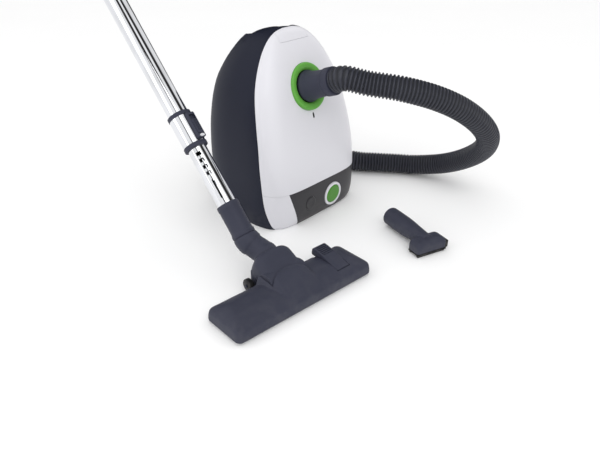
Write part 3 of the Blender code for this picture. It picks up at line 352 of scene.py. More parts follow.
def even_path(points, step):
    """Even points along a smooth curve through the given ones, none lower than the floor allows."""
    ends = [points[0] * 2 - points[1]] + list(points) + [points[-1] * 2 - points[-2]]
    fine = []
    for i in range(1, len(ends) - 2):
        a, b, c, d = ends[i - 1:i + 3]
        for k in range(40):
            t = k / 40
            fine.append(0.5 * ((2 * b) + (c - a) * t + (2 * a - 5 * b + 4 * c - d) * t * t
                               + (3 * b - a - 3 * c + d) * t ** 3))
    fine.append(points[-1])
    reach = [0.0]
    for p, q in zip(fine, fine[1:]):
        reach.append(reach[-1] + (q - p).length)
    count = round(reach[-1] / step)
    out, i = [], 0
    for k in range(count + 1):
        want = reach[-1] * k / count
        while i < len(reach) - 2 and reach[i + 1] < want:
            i += 1
        at = fine[i].lerp(fine[i + 1], min((want - reach[i]) / max(reach[i + 1] - reach[i], 1e-9), 1.0))
        at.z = max(at.z, FLOOR_Z)
        out.append(at)
    return out, reach[-1]


RIB = 0.0062
RIB_SHAPE = ((0.0, 0.55), (0.14, 0.0), (0.42, 0.0), (0.56, 0.55), (0.70, 1.0), (0.86, 1.0))
hose_line, hose_length = even_path(ROUTE, RIB)
print("hose length", round(hose_length, 3), "m,", len(hose_line) - 1, "ribs")


# %% A tube made ring by ring
def ringed_tube(name, line, around):
    """A closed tube along line. Each item of line is (centre, radius, valley)."""
    bm = bmesh.new()
    deep = bm.verts.layers.float.new("valley")
    side, rows = None, []
    for i, (centre, radius, valley) in enumerate(line):
        ahead = (line[min(i + 1, len(line) - 1)][0] - line[max(i - 1, 0)][0]).normalized()
        side = (side or ahead.orthogonal()) - ahead * (side or ahead.orthogonal()).dot(ahead)
        side.normalize()
        other = ahead.cross(side)
        row = []
        for k in range(around):
            angle = 2 * math.pi * k / around
            vert = bm.verts.new(centre + (side * math.cos(angle) + other * math.sin(angle)) * radius)
            vert[deep] = valley
            row.append(vert)
        rows.append(row)
    for low, high in zip(rows, rows[1:]):
        for k in range(around):
            bm.faces.new((low[k], low[(k + 1) % around], high[(k + 1) % around], high[k]))
    bm.faces.new(list(reversed(rows[0])))
    bm.faces.new(rows[-1])
    bmesh.ops.recalc_face_normals(bm, faces=bm.faces)
    mesh = bpy.data.meshes.new(name)
    bm.to_mesh(mesh)
    bm.free()
    for face in mesh.polygons:
        face.use_smooth = True
    made = bpy.data.objects.new(name, mesh)
    scene.collection.objects.link(made)
    return made


# %% The ribbed hose
RIB_DEPTH = 0.0030
tube_line = []
for start, end in zip(hose_line, hose_line[1:]):
    for share, valley in RIB_SHAPE:
        tube_line.append((start.lerp(end, share), HOSE_DIAMETER / 2 - RIB_DEPTH * valley, valley))
tube_line.append((hose_line[-1], HOSE_DIAMETER / 2 - RIB_DEPTH * 0.5, 0.5))
tube_line[0] = (hose_line[0], HOSE_DIAMETER / 2 - RIB_DEPTH * 0.5, 0.5)
hose = ringed_tube("ribbed_hose", tube_line, 28)
hose.data.materials.append(hose_skin)
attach(hose, "canister")
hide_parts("hose")
print("hose triangles", 2 * len(hose.data.polygons))

# %% [markdown]
# ## Modelling by hand, in code
# Most pieces start as a primitive and are shaped in edit mode. Four habits cover them: a circle that is
# extruded ring by ring makes a lofted shell, an outline that is spun makes a turned part, a cube with
# bevelled edges makes a block, and a Boolean cuts one piece with another. Each habit is a short helper, so that
# the cells that follow only say what is particular to a piece.

# %% Selecting and applying
def only(obj):
    """Deselects everything, then makes obj the one active and selected object."""
    for other in bpy.context.view_layer.objects:
        other.select_set(False)
    obj.select_set(True)
    bpy.context.view_layer.objects.active = obj


def edit(obj):
    only(obj)
    bpy.ops.object.mode_set(mode="EDIT")
    return bmesh.from_edit_mesh(obj.data)


def settle(obj, name=None, matrix=None):
    """Leaves edit mode, and puts the piece's place into its mesh."""
    if bpy.context.mode != "OBJECT":
        bpy.ops.object.mode_set(mode="OBJECT")
    if matrix is not None:
        obj.matrix_world = matrix @ obj.matrix_world
    only(obj)
    bpy.ops.object.transform_apply(location=True, rotation=True, scale=True)
    if name:
        obj.name = obj.data.name = name
    return obj


def apply(obj, kind, **settings):
    """Adds a modifier, sets it and applies it."""
    only(obj)
    step = obj.modifiers.new(kind.lower(), kind)
    for key, value in settings.items():
        setattr(step, key, value)
    bpy.ops.object.modifier_apply(modifier=step.name)
    return obj


def carve(target, *tools, operation="DIFFERENCE", spend=True):
    for tool in tools:
        apply(target, "BOOLEAN", operation=operation, object=tool, solver="EXACT")
        if spend:
            bpy.data.objects.remove(tool)
    return target


# %% Four habits
def frame_at(origin, way, towards=None):
    """A matrix whose local Z runs along way, and whose local X leans towards a direction."""
    z = Vector(way).normalized()
    hint = Vector(towards) if towards is not None else (Vector((1, 0,
                                                                0)) if abs(z.x) < 0.9 else Vector((0, 0, 1)))
    x = (hint - z * hint.dot(z)).normalized()
    return Matrix.Translation(Vector(origin)) @ Matrix((x, z.cross(x), z)).transposed().to_4x4()


def rings(name, rows, matrix=None):
    """A closed skin: a circle shaped to the first row of points, then extruded to each next row."""
    bpy.ops.mesh.primitive_circle_add(vertices=len(rows[0]), radius=0.01, fill_type="NOTHING")
    made = bpy.context.active_object
    bm = edit(made)
    bm.verts.ensure_lookup_table()
    line = list(bm.verts)
    for vert, place in zip(line, rows[0]):
        vert.co = place
    for row in rows[1:]:
        bpy.ops.mesh.extrude_region_move()
        bm = bmesh.from_edit_mesh(made.data)
        grown = []
        for vert in line:
            grown.append(next(e.other_vert(vert) for e in vert.link_edges if e.other_vert(vert).select))
        for vert, place in zip(grown, row):
            vert.co = place
        line = grown
    bpy.ops.mesh.edge_face_add()
    bpy.ops.mesh.select_all(action="DESELECT")
    bpy.ops.mesh.select_non_manifold()
    bpy.ops.mesh.edge_face_add()
    bpy.ops.mesh.select_all(action="SELECT")
    bpy.ops.mesh.normals_make_consistent(inside=False)
    return settle(made, name, matrix)


def turned(name, outline, matrix=None, steps=64):
    """An outline of (radius, height) spun once round local Z."""
    bpy.ops.mesh.primitive_circle_add(vertices=len(outline), radius=0.01, fill_type="NOTHING")
    made = bpy.context.active_object
    bm = edit(made)
    for vert, (radius, height) in zip(bm.verts, outline):
        vert.co = (radius, 0.0, height)
    bpy.ops.mesh.select_all(action="SELECT")
    bpy.ops.mesh.spin(steps=steps, angle=2 * math.pi, center=(0, 0, 0), axis=(0, 0, 1))
    bpy.ops.mesh.select_all(action="SELECT")
    bpy.ops.mesh.remove_doubles(threshold=0.00001)
    bpy.ops.mesh.dissolve_degenerate(threshold=0.00001)
    bpy.ops.mesh.normals_make_consistent(inside=False)
    return settle(made, name, matrix)


def block(name, low, high, matrix=None, bevel=0.0, segments=3):
    """A cube sized between two corners, with its edges bevelled."""
    centre = [(a + b) / 2 for a, b in zip(low, high)]
    bpy.ops.mesh.primitive_cube_add(size=1.0, location=centre)
    made = bpy.context.active_object
    made.scale = [b - a for a, b in zip(low, high)]
    settle(made)
    if bevel:
        edit(made)
        bpy.ops.mesh.select_all(action="SELECT")
        bpy.ops.mesh.bevel(offset=bevel, segments=segments, affect="EDGES")
    return settle(made, name, matrix)


def rod(name, radius, low, high, matrix=None, steps=48, top=None):
    """A cylinder or a cone along local Z."""
    return turned(name, [(0.0, low), (radius, low), (radius if top is None else top, high), (0.0, high)],
                  matrix, steps)


# %% Finishing a piece
def finish(obj, body, finish_material, slot, *nodes, angle=35.0):
    """Smooths and paints a piece, ties it to its body, and hides the nodes it stands for."""
    only(obj)
    bpy.ops.object.shade_smooth_by_angle(angle=math.radians(angle))
    obj.data.materials.clear()
    obj.data.materials.append(finish_material)
    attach(obj, body)
    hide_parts(*nodes)
    shape = bmesh.new()
    shape.from_mesh(obj.data)
    volume, gaps = shape.calc_volume() * 1e9, sum(not edge.is_manifold for edge in shape.edges)
    shape.free()
    if volume < 1.0:
        raise RuntimeError(f"{obj.name} has lost its solid")
    print(f"{obj.name}: {len(obj.data.polygons)} faces on {body}, {volume:.0f} mm3, {gaps} open edges")
    return obj


def from_frame(name, node, edge=0.0, segments=2):
    """A copy of a node's solid, merged into whole faces, with its sharp edges rounded."""
    made = frame["nodes"][node].copy()
    made.data = made.data.copy()
    made.parent = None
    made.matrix_world = Matrix.Identity(4)
    for key in list(made.keys()):
        del made[key]
    scene.collection.objects.link(made)
    made.name = made.data.name = name
    edit(made)
    bpy.ops.mesh.select_all(action="SELECT")
    bpy.ops.mesh.remove_doubles(threshold=0.000002)
    bpy.ops.mesh.dissolve_limited(angle_limit=math.radians(0.5))
    settle(made)
    if edge:
        apply(made, "BEVEL", width=edge, segments=segments, limit_method="ANGLE",
              angle_limit=math.radians(32),
              use_clamp_overlap=True, harden_normals=False)
    return made


# %% [markdown]
# ## The body's form
# The lid, the rear cover, the control panel and the casing are one smooth form split by thin seams. Modelled
# separately, their surfaces would never quite meet, so the form is made once, at each wall's depth, and cut by
# the same regions that split the real mouldings. Its level sections are rounded squares, flatter in front than
# behind, and a table gives their width, front and back at each height.

# %% The form's sections
BODY_WIDTH, BODY_HEIGHT, BODY_DEPTH, WALL, SEAM_GAP = 0.247, 0.335, 0.2235, 0.003, 0.0004
MID_Y = -0.0895 * BODY_DEPTH
FRONT_POWER, BACK_POWER = 5.0, 2.75
SECTIONS = (
    (0.000, 0.945, -0.545, 0.290), (0.030, 0.966, -0.569, 0.338), (0.104, 0.980, -0.582, 0.376),
    (0.209, 0.992, -0.579, 0.403), (0.328, 1.000, -0.559, 0.416), (0.463, 0.980, -0.517, 0.418),
    (0.597, 0.927, -0.463, 0.405), (0.716, 0.838, -0.414, 0.374), (0.812, 0.725, -0.362, 0.304),
    (0.890, 0.595, -0.313, 0.224), (0.949, 0.449, -0.264, 0.148), (0.988, 0.275, -0.224, 0.054),
    (1.000, 0.146, -0.192, -0.027))
SEAM = ((-0.1, -0.50), (0.0, -0.474), (0.15, -0.418), (0.30, -0.400), (0.45, -0.376), (0.60, -0.329),
        (0.75, -0.268), (0.90, -0.219), (1.0, -0.188), (1.1, -0.16))
LID_SEAM = 0.2105 * BODY_HEIGHT


def smooth_read(table, at, column):
    """A column of a table at any height, on a curve without a kink or an overshoot at its rows."""
    i = max(k for k in range(len(table) - 1) if k == 0 or table[k][0] <= at)
    slopes = [(b[column] - a[column]) / (b[0] - a[0]) for a, b in zip(table, table[1:])]

    def tangent(k):
        if k == 0 or k == len(table) - 1:
            return slopes[min(k, len(slopes) - 1)]
        a, b = slopes[k - 1], slopes[k]
        return 0.0 if a * b <= 0 else 2 * a * b / (a + b)

    span = table[i + 1][0] - table[i][0]
    t = min(max((at - table[i][0]) / span, 0.0), 1.0)
    a, b = table[i][column], table[i + 1][column]
    return (a * (2 * t ** 3 - 3 * t ** 2 + 1) + b * (3 * t ** 2 - 2 * t ** 3)
            + span * (tangent(i) * (t ** 3 - 2 * t ** 2 + t) + tangent(i + 1) * (t ** 3 - t ** 2)))


def front_y(z):
    return smooth_read(SECTIONS, z / BODY_HEIGHT, 2) * BODY_DEPTH


def back_y(z):
    return smooth_read(SECTIONS, z / BODY_HEIGHT, 3) * BODY_DEPTH


def half_width(z):
    return smooth_read(SECTIONS, z / BODY_HEIGHT, 1) * BODY_WIDTH / 2


def seam_y(z):
    return smooth_read(SEAM, z / BODY_HEIGHT, 1) * BODY_DEPTH


# %% Form and regions
def body_form(name, inset, around=96, steps=3):
    rows = []
    for low, high in zip(SECTIONS, SECTIONS[1:]):
        rows += [low[0] + (high[0] - low[0]) * k / steps for k in range(steps)]
    made = []
    for share in rows + [1.0]:
        z = share * BODY_HEIGHT
        wide = max(half_width(z) - inset, 0.004)
        front, back = front_y(z) + inset, back_y(z) - inset
        level = inset + z * (BODY_HEIGHT - 2 * inset) / BODY_HEIGHT
        row = []
        for k in range(around):
            angle = 2 * math.pi * (k + 0.5) / around
            c, s = math.cos(angle), math.sin(angle)
            power = FRONT_POWER if s < 0 else BACK_POWER
            deep = MID_Y - front if s < 0 else back - MID_Y
            row.append((wide * math.copysign(abs(c) ** (2 / power), c),
                        MID_Y + deep * math.copysign(abs(s) ** (2 / power), s), level))
        made.append(row)
    return rings(name, made)


def slab(name, outline, low, high, along):
    """An outline pushed along an axis: its points are (Y, Z) along X, or (X, Z) along Y."""
    rows = []
    for at in (low, high):
        rows.append([(at, p, q) if along == "X" else (p, at, q) for p, q in outline])
    return rings(name, rows)


def front_region(gap, low, high):
    """What is ahead of the line where the casing meets the white front."""
    count = 24
    line = [(seam_y(low + (high - low) * k / count) - gap,
             low + (high - low) * k / count) for k in range(count + 1)]
    return slab("front_region", [(-2 * BODY_DEPTH, low)] + line + [(-2 * BODY_DEPTH, high)],
                -BODY_WIDTH, BODY_WIDTH, "X")


print("form:", len(SECTIONS), "sections, seam at", round(seam_y(0.2), 4))

# %% [markdown]
# ## Lid, rear cover, control panel
# These three are thin skins of the form. Each is the form, kept only inside its own region, hollowed by the
# same form one wall deeper, and pierced for what passes through it. Cutting with whole forms keeps the walls
# even where the surface curves, which a Solidify modifier does less well round a tight rim.

# %% Places on the front
WHEEL_Y, WHEEL_Z, WHEEL_X, WHEEL_RADIUS = 0.064, 0.052, 0.079, 0.030
INLET_RADIUS, BUTTON_RADIUS = 0.0415, 0.018
BUTTON_XZ, REWIND_XZ = (0.030, 0.0330), (-0.0326, 0.0356)
BULKHEAD_Z = 0.278 * BODY_HEIGHT
inlet_at = frame_at(INLET, INLET_WAY, (1, 0, 0))


def cad_front_y(z):
    """The front as the solids have it: straight between the sections."""
    share = z / BODY_HEIGHT
    for low, high in zip(SECTIONS, SECTIONS[1:]):
        if share <= high[0]:
            return (low[2] + (high[2] - low[2]) * (share - low[0]) / (high[0] - low[0])) * BODY_DEPTH


def front_point(x, z, reach=0.01):
    """Local Z out of the front at a point."""
    slope = (cad_front_y(z + reach) - cad_front_y(z - reach)) / (2 * reach)
    return frame_at((x, cad_front_y(z), z), (0, -1, slope), (1, 0, 0))


def latch_region(name, gap):
    low = BODY_HEIGHT * 0.944 - gap
    wide = 0.034 + gap
    return block(name, (-wide, cad_front_y(BODY_HEIGHT * 0.95) - 0.012, low),
                 (wide, 0.02, BODY_HEIGHT + 0.006))


def panel_region(name, gap):
    top = LID_SEAM - SEAM_GAP + (0.002 if gap < 0 else -0.0001)
    left_low, left_high = -0.235 * BODY_WIDTH, (-0.235 - 0.110 * (top + 0.01) / (LID_SEAM + 0.01)) * BODY_WIDTH
    right_low, right_high = 0.440 * BODY_WIDTH, (0.440 + 0.030 * (top + 0.01) / (LID_SEAM + 0.01)) * BODY_WIDTH
    outline = [(left_low + gap, -0.01), (right_low - gap, -0.01), (right_high - gap, top),
               (left_high + gap, top)]
    return slab(name, outline, -0.25, seam_y(0.0) - 0.001, "Y")


# %% Lid
lid = body_form("lid_skin", 0.0)
carve(lid, front_region(SEAM_GAP, LID_SEAM, 1.05 * BODY_HEIGHT), operation="INTERSECT")
carve(lid, body_form("hollow", WALL), rod("inlet_hole", INLET_RADIUS + 0.0003, -0.04, 0.04, inlet_at, 96),
      block("slit", (-0.0022, -0.0052, -0.02), (0.0022, 0.0052, 0.02),
            front_point(0, 0.572 * BODY_HEIGHT, 0.02), 0.002),
      latch_region("latch_gap", 0.0004))
finish(lid, "lid", white, "lid_white", "lid")

# %% Rear cover and control panel
cover = body_form("rear_cover_skin", 0.0)
carve(cover, front_region(SEAM_GAP, -0.02, LID_SEAM - SEAM_GAP), operation="INTERSECT")
pocket = carve(panel_region("panel_pocket", -0.0003), body_form("pocket_floor", 0.0021))
carve(cover, body_form("hollow", WALL + 0.0014), pocket)
panel = carve(body_form("control_panel_skin", 0.0), panel_region("panel_outline", 0.0),
              operation="INTERSECT")
carve(panel, body_form("panel_back", 0.0018))
for x, z, through, gap in ((*BUTTON_XZ, 0.0200, 0.0235), (*REWIND_XZ, 0.0133, 0.0133)):
    carve(cover, rod("hole", through, -0.02, 0.02, front_point(x, z)))
    carve(panel, rod("hole", gap, -0.02, 0.02, front_point(x, z)))
finish(cover, "canister", white, "lid_white", "rear_cover")
finish(panel, "canister", charcoal, "panel_charcoal", "control_panel")

# %% Latch
latch = carve(body_form("latch_tab", 0.0), latch_region("latch_outline", 0.0),
              front_region(SEAM_GAP, 0.5 * BODY_HEIGHT, 1.05 * BODY_HEIGHT), operation="INTERSECT")
finish(latch, "latch", white, "lid_white", "lid_latch")

# %% [markdown]
# ## The dark casing
# The casing is the back half of the form: a bucket that holds everything, with a carrying handle bridging a
# finger cup at its top, two wheel wells, a caster recess and openings for the exhaust and the mains lead. The
# wells and cups are pressed in as walls, so the hollow is first made shorter by blocks round each of them.

# %% Casing
recess_y = WHEEL_Y + WHEEL_RADIUS - 0.036
caster_at = frame_at((0, recess_y, 0.755 * BODY_HEIGHT), (0, 1, 0))
cup_at = (0, seam_y(BODY_HEIGHT) + 0.045, BODY_HEIGHT + 0.003)


def cup(name, size):
    bpy.ops.mesh.primitive_uv_sphere_add(segments=48, ring_count=24, radius=1.0, location=cup_at)
    made = bpy.context.active_object
    made.scale = size
    return settle(made, name)


def well_at(side):
    return frame_at((side * WHEEL_X, WHEEL_Y, WHEEL_Z), (side, 0, 0))


hollow = body_form("hollow", WALL)
carve(hollow, cup("cup_block", (0.051, 0.045, 0.046)), rod("caster_block", 0.0255, -0.006, 0.06, caster_at))
for side in (-1, 1):
    carve(hollow, rod("well_block", WHEEL_RADIUS + 0.0065, -0.0155, 0.0155, well_at(side)))
casing = body_form("casing_shell", 0.0)
carve(casing, hollow, front_region(0.0, -0.02, 1.05 * BODY_HEIGHT))
for side in (-1, 1):
    carve(casing, rod("well", WHEEL_RADIUS + 0.0035, -0.0125, 0.0125, well_at(side), 96))
carve(casing, rod("recess", 0.0225, 0.0, 0.06, caster_at, 96),
      rod("pivot_hole", 0.0043, -0.0045, 0.02, caster_at),
      cup("finger_cup", (0.048, 0.042, 0.043)))

# %% Carrying handle
HANDLE_HALF, HANDLE_RISE, HANDLE_ROUND = 0.056, 0.0130, 0.72
rows = []
for k in range(25):
    share = -1.0 + k / 12
    rise = 1 - abs(share) ** 2.4
    centre = Vector((share * HANDLE_HALF, seam_y(BODY_HEIGHT) + 0.043,
                     BODY_HEIGHT - 0.0255 + HANDLE_RISE * rise))
    lean = 2.4 * abs(share) ** 1.4 * HANDLE_RISE / HANDLE_HALF * math.copysign(1, -share)
    along = Vector((1, 0, lean)).normalized()
    up = Vector((-along.z, 0, along.x))
    row = []
    for i in range(32):
        angle = 2 * math.pi * i / 32
        c, s = math.cos(angle), math.sin(angle)
        row.append(centre + Vector((0, 0.0105 * math.copysign(abs(c) ** HANDLE_ROUND, c), 0))
                   + up * 0.0050 * math.copysign(abs(s) ** HANDLE_ROUND, s))
    rows.append(row)
carve(casing, rings("handle_bar", rows), operation="UNION")
grille_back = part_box("exhaust_grille")[1].y
carve(casing, block("grille_hole", (-0.0453, 0.0, 0.0217),
                    (0.0453, grille_back + 0.03, BULKHEAD_Z - 0.0157)),
      rod("gland_hole", 0.0093, -0.02, 0.02, frame_at((0.945 * BODY_WIDTH / 2, -0.018, 0.035), (1, 0, 0))))
finish(casing, "canister", navy, "casing_navy", "base_shell")

# %% [markdown]
# ## Ring, buttons, wheels
# Round mouldings are turned: half a section is drawn as an outline and spun. Their edges are broken in the
# outline itself, where each corner is two points, because a bevel after the spin would round the flats too.

# %% Inlet ring, seal and cuff
r = INLET_RADIUS
ring = turned("inlet_ring_green", [
    (0.0285, -0.012), (r - 0.0006, -0.012), (r, -0.0114), (r, 0.0012), (r - 0.0005, 0.0027),
    (r - 0.0015, 0.0038),
    (r - 0.0030, 0.0043), (r - 0.0050, 0.0044), (r - 0.0075, 0.0040), (r - 0.0100, 0.0032),
    (0.0292, 0.0010),
    (0.0285, 0.0002)], inlet_at, 96)
finish(ring, "lid", ring_green, "ring_green", "inlet_ring")
h = HOSE_DIAMETER / 2
cuff = turned("hose_cuff", [
    (0.0165, -0.0100), (0.0198, -0.0100), (0.0202, 0.0000), (0.0270, 0.0008), (0.0277, 0.0018),
    (0.0277, 0.0046),
    (0.0272, 0.0058), (0.0262, 0.0078), (0.0250, 0.0115), (0.0243, 0.0160), (0.0237, 0.0230),
    (h + 0.0021, 0.0310),
    (h + 0.0018, 0.0400), (h + 0.0017, 0.0462), (h + 0.0020, 0.0466), (h + 0.0030, 0.0474),
    (h + 0.0032, 0.0484),
    (h + 0.0032, 0.0500), (h + 0.0026, 0.0506), (h + 0.0026, 0.0516), (h + 0.0032, 0.0522),
    (h + 0.0032, 0.0618),
    (h + 0.0030, 0.0632), (h + 0.0024, CUFF_LENGTH), (0.0170, CUFF_LENGTH), (0.0165, 0.0630)], inlet_at, 96)
finish(cuff, "inlet_cuff", slate, "hose_dark", "inlet_cuff")

# %% Buttons
r = BUTTON_RADIUS
button_at, rewind_at = front_point(*BUTTON_XZ), front_point(*REWIND_XZ)
bezel = turned("button_bezel", [
    (r + 0.0004, -0.0055), (0.0197, -0.0055), (0.0197, -0.0014), (0.0232, -0.0014), (0.0232, 0.0008),
    (0.0230, 0.0014), (0.0225, 0.0019), (0.0219, 0.0020), (r + 0.0014, 0.0020), (r + 0.0007, 0.0017),
    (r + 0.0004, 0.0011)], button_at)
finish(bezel, "canister", white, "lid_white", "button_ring")
button = turned("power_button_cap", [
    (0.0, -0.0070), (r - 0.001, -0.0070), (r, -0.0062), (r, 0.0010), (r - 0.0003, 0.0016),
    (r - 0.0010, 0.0022),
    (r - 0.0020, 0.0025), (r - 0.0060, 0.0027), (0.0060, 0.0024), (0.0, 0.0023)], button_at)
finish(button, "power_button", button_green, "button_green", "power_button")
rewind = turned("rewind_button_cap", [
    (0.0, -0.0065), (0.0094, -0.0065), (0.0094, -0.0018), (0.0129, -0.0018), (0.0129, 0.0000),
    (0.0127, 0.0005),
    (0.0122, 0.0009), (0.0115, 0.0010), (0.0070, 0.0007), (0.0, 0.0005)], rewind_at)
carve(rewind, turned("mark_groove", [(0.0052, 0.0004), (0.0060, 0.0004), (0.0060, 0.02), (0.0052, 0.02)],
                     rewind_at))
finish(rewind, "rewind_button", charcoal, "panel_charcoal", "rewind_button")

# %% Wheels and caster
for side, word in ((-1, "left"), (1, "right")):
    r = WHEEL_RADIUS
    wheel = turned("tyre_" + word, [
        (0.0043, -0.009), (0.0096, -0.009), (0.0103, -0.0086), (0.0120, -0.0062), (0.0127, -0.006),
        (r - 0.0075, -0.006),
        (r - 0.0068, -0.0063), (r - 0.0053, -0.0086), (r - 0.0045, -0.009), (r - 0.0018, -0.009),
        (r - 0.0005, -0.0083),
        (r, -0.0070), (r, -0.0024), (r - 0.0007, -0.0016), (r - 0.0007, 0.0016), (r, 0.0024), (r, 0.0070),
        (r - 0.0005, 0.0083), (r - 0.0018, 0.009), (r - 0.0045, 0.009), (r - 0.0053, 0.0086),
        (r - 0.0068, 0.0063),
        (r - 0.0075, 0.006), (0.0127, 0.006), (0.0120, 0.0062), (0.0103, 0.0086), (0.0096, 0.009),
        (0.0043, 0.009)],
        well_at(side))
    finish(wheel, "wheel_" + word, black, "black_plastic", "wheel_" + word)
    axle = turned("axle_" + word, [(0.0, -0.0122), (0.0036, -0.0122), (0.0040, -0.0118), (0.0040, 0.0114),
                                   (0.0034, 0.0122), (0.0, 0.0122)], well_at(side))
    finish(axle, "canister", steel, "steel", "wheel_axle_" + word)
caster_wheel_at = caster_at @ Matrix.Translation((0, 0, 0.0225)) @ Matrix.Rotation(math.pi / 2, 4, "Y")
roller = turned("caster_roller", [
    (0.0020, -0.0078), (0.0110, -0.0078), (0.0125, -0.0073), (0.0133, -0.0060), (0.0135, -0.0045),
    (0.0135, 0.0045),
    (0.0133, 0.0060), (0.0125, 0.0073), (0.0110, 0.0078), (0.0020, 0.0078)], caster_wheel_at)
finish(roller, "caster_wheel", black, "black_plastic", "caster_wheel")
fork = from_frame("caster_yoke", "caster_fork", 0.0004)
finish(fork, "caster", black, "black_plastic", "caster_fork")

# %% [markdown]
# ## The telescopic tube
# Two chromed tubes slide in each other, and a collar locks them at one of a row of notches. The inner tube has
# a pressed groove that keeps it from turning. All of it is turned at once about the tube's own axis, and the
# notches are cut right through the wall, because a dent in a mirror shows only as a smear.

# %% Tubes
WAND_AT = frame_at((-0.2293, -0.1640, 0.0662), (0.0320, 0.6870, 0.7259), (-0.636, -0.544, 0.543))
TUBE_R, TUBE_WALL = 0.017, 0.0012
INNER_R = TUBE_R - TUBE_WALL - 0.0003
SOCKET_LENGTH, COLLAR_LENGTH, SHOWING = 0.058, 0.062, 0.1593
tube_low = SHOWING + COLLAR_LENGTH - 0.026
tube_high = tube_low + 0.43
outer = turned("outer_chrome_tube", [
    (TUBE_R - TUBE_WALL, tube_low), (TUBE_R, tube_low), (TUBE_R, tube_high - 0.002),
    (TUBE_R - TUBE_WALL, tube_high - 0.002)], WAND_AT, 96)
finish(outer, "upper_wand", chrome, "chrome", "outer_tube")
end_ring = turned("tube_mouth_ring", [
    (TUBE_R - TUBE_WALL, tube_high - 0.0017), (TUBE_R + 0.0016, tube_high - 0.0017),
    (TUBE_R + 0.0020, tube_high - 0.0013),
    (TUBE_R + 0.0020, tube_high + 0.0075), (TUBE_R + 0.0014, tube_high + 0.0092),
    (TUBE_R + 0.0004, tube_high + 0.010),
    (TUBE_R - TUBE_WALL + 0.0003, tube_high + 0.010), (TUBE_R - TUBE_WALL, tube_high + 0.0096)], WAND_AT,
    96)
finish(end_ring, "upper_wand", slate, "slate_plastic", "tube_end_ring")

q = INNER_R
inner = turned("inner_chrome_tube", [(q - 0.0016, 0.022), (q, 0.022), (q, SHOWING + 0.300),
                                     (q - 0.0016, SHOWING + 0.300)], WAND_AT, 96)
groove_low, notch_top, notch_pitch = SOCKET_LENGTH + 0.010, SHOWING - 0.012, 0.0115
cutters = [block("notch", (q - 0.0030, -0.0042, notch_top - notch_pitch * k - 0.0032),
                 (q + 0.01, 0.0042, notch_top - notch_pitch * k + 0.0032), WAND_AT,
                 0.0008) for k in range(4)]
carve(inner, *cutters, block("groove", (q - 0.0030, -0.0021, groove_low),
                             (q + 0.01, 0.0021, notch_top - 0.046),
                             WAND_AT, 0.0012))
finish(inner, "lower_wand", chrome, "chrome", "inner_tube")
print("tube mouth at", [round(c, 3) for c in WAND_AT @ Vector((0, 0, tube_high))])

# %% Lock collar
c = TUBE_R + 0.0022
low, top = SHOWING, SHOWING + COLLAR_LENGTH
collar = turned("lock_sleeve", [
    (q + 0.0003, low + 0.0070), (c, low + 0.0070), (c, top - 0.0070), (TUBE_R + 0.0003, top - 0.0070),
    (TUBE_R + 0.0003, tube_low - 0.0004), (q + 0.0003, tube_low - 0.0004)], WAND_AT, 96)
finish(collar, "upper_wand", chrome, "chrome", "lock_collar")
for word, start, stop, bore in (("low", low, low + 0.0068, q + 0.0003),
                                ("top", top - 0.0068, top, TUBE_R + 0.0003)):
    band = turned("collar_band_" + word, [
        (bore, start), (c + 0.0002, start), (c + 0.0008, start + 0.0006), (c + 0.0008, stop - 0.0006),
        (c + 0.0002, stop), (bore, stop)], WAND_AT, 96)
    finish(band, "upper_wand", slate, "slate_plastic")
lock_at = WAND_AT @ Matrix.Rotation(math.radians(52), 4, "Z")
guide = block("lock_guide", (c - 0.0008, -0.0085, low + 0.0090), (c + 0.0060, 0.0085, low + 0.0540),
              lock_at, 0.0020, 4)
carve(guide, block("track", (c + 0.0022, -0.0062, low + 0.015), (c + 0.02, 0.0062, low + 0.049), lock_at))
finish(guide, "upper_wand", slate, "slate_plastic")
slider = block("lock_button", (c + 0.0025, -0.0058, low + 0.0155), (c + 0.0080, 0.0058, low + 0.0405),
               lock_at, 0.0012, 3)
for k in range(5):
    z = low + 0.0200 + 0.0040 * k
    carve(slider, block("rib_gap", (c + 0.0071, -0.0050, z), (c + 0.02, 0.0050, z + 0.0018), lock_at))
finish(slider, "lock_slider", slate, "hose_dark", "lock_slider")
plate = rod("lock_plate", 0.0040, 0.0, 0.0010, lock_at @ Matrix.Translation((c + 0.0056, 0, low + 0.0117))
            @ Matrix.Rotation(math.pi / 2, 4, "Y") @ Matrix.Diagonal((0.65, 1.4, 1.0, 1.0)), 48, 0.0036)
finish(plate, "upper_wand", chrome, "chrome")

# %% Socket
out = q + 0.0024
socket = turned("tube_socket", [
    (0.0140, 0.0), (0.0183, 0.0), (0.0188, 0.0004), (0.0194, 0.0018), (0.0194, 0.0056), (0.0190, 0.0068),
    (out + 0.0005, 0.0080), (out + 0.0001, 0.0110), (out, 0.0490), (out + 0.0006, 0.0500),
    (out + 0.0008, 0.0512),
    (out + 0.0008, SOCKET_LENGTH - 0.0020), (out + 0.0004, SOCKET_LENGTH - 0.0004),
    (out - 0.0002, SOCKET_LENGTH),
    (q + 0.0006, SOCKET_LENGTH), (q + 0.0003, SOCKET_LENGTH - 0.0003), (q + 0.0003, 0.0216),
    (0.0140, 0.0216)],
    WAND_AT, 96)
finish(socket, "lower_wand", slate, "slate_plastic", "pipe_socket")

# %% [markdown]
# ## The floor head
# The head is a long wedge with a soft ridge in front and a tongue that rises out of its middle to meet the
# neck. The two flow into each other, which a plain Boolean union doesn't show. So both are joined, turned into
# small even faces by a voxel remesh, and relaxed, as a sculptor would, before the sharp cut-outs are made.

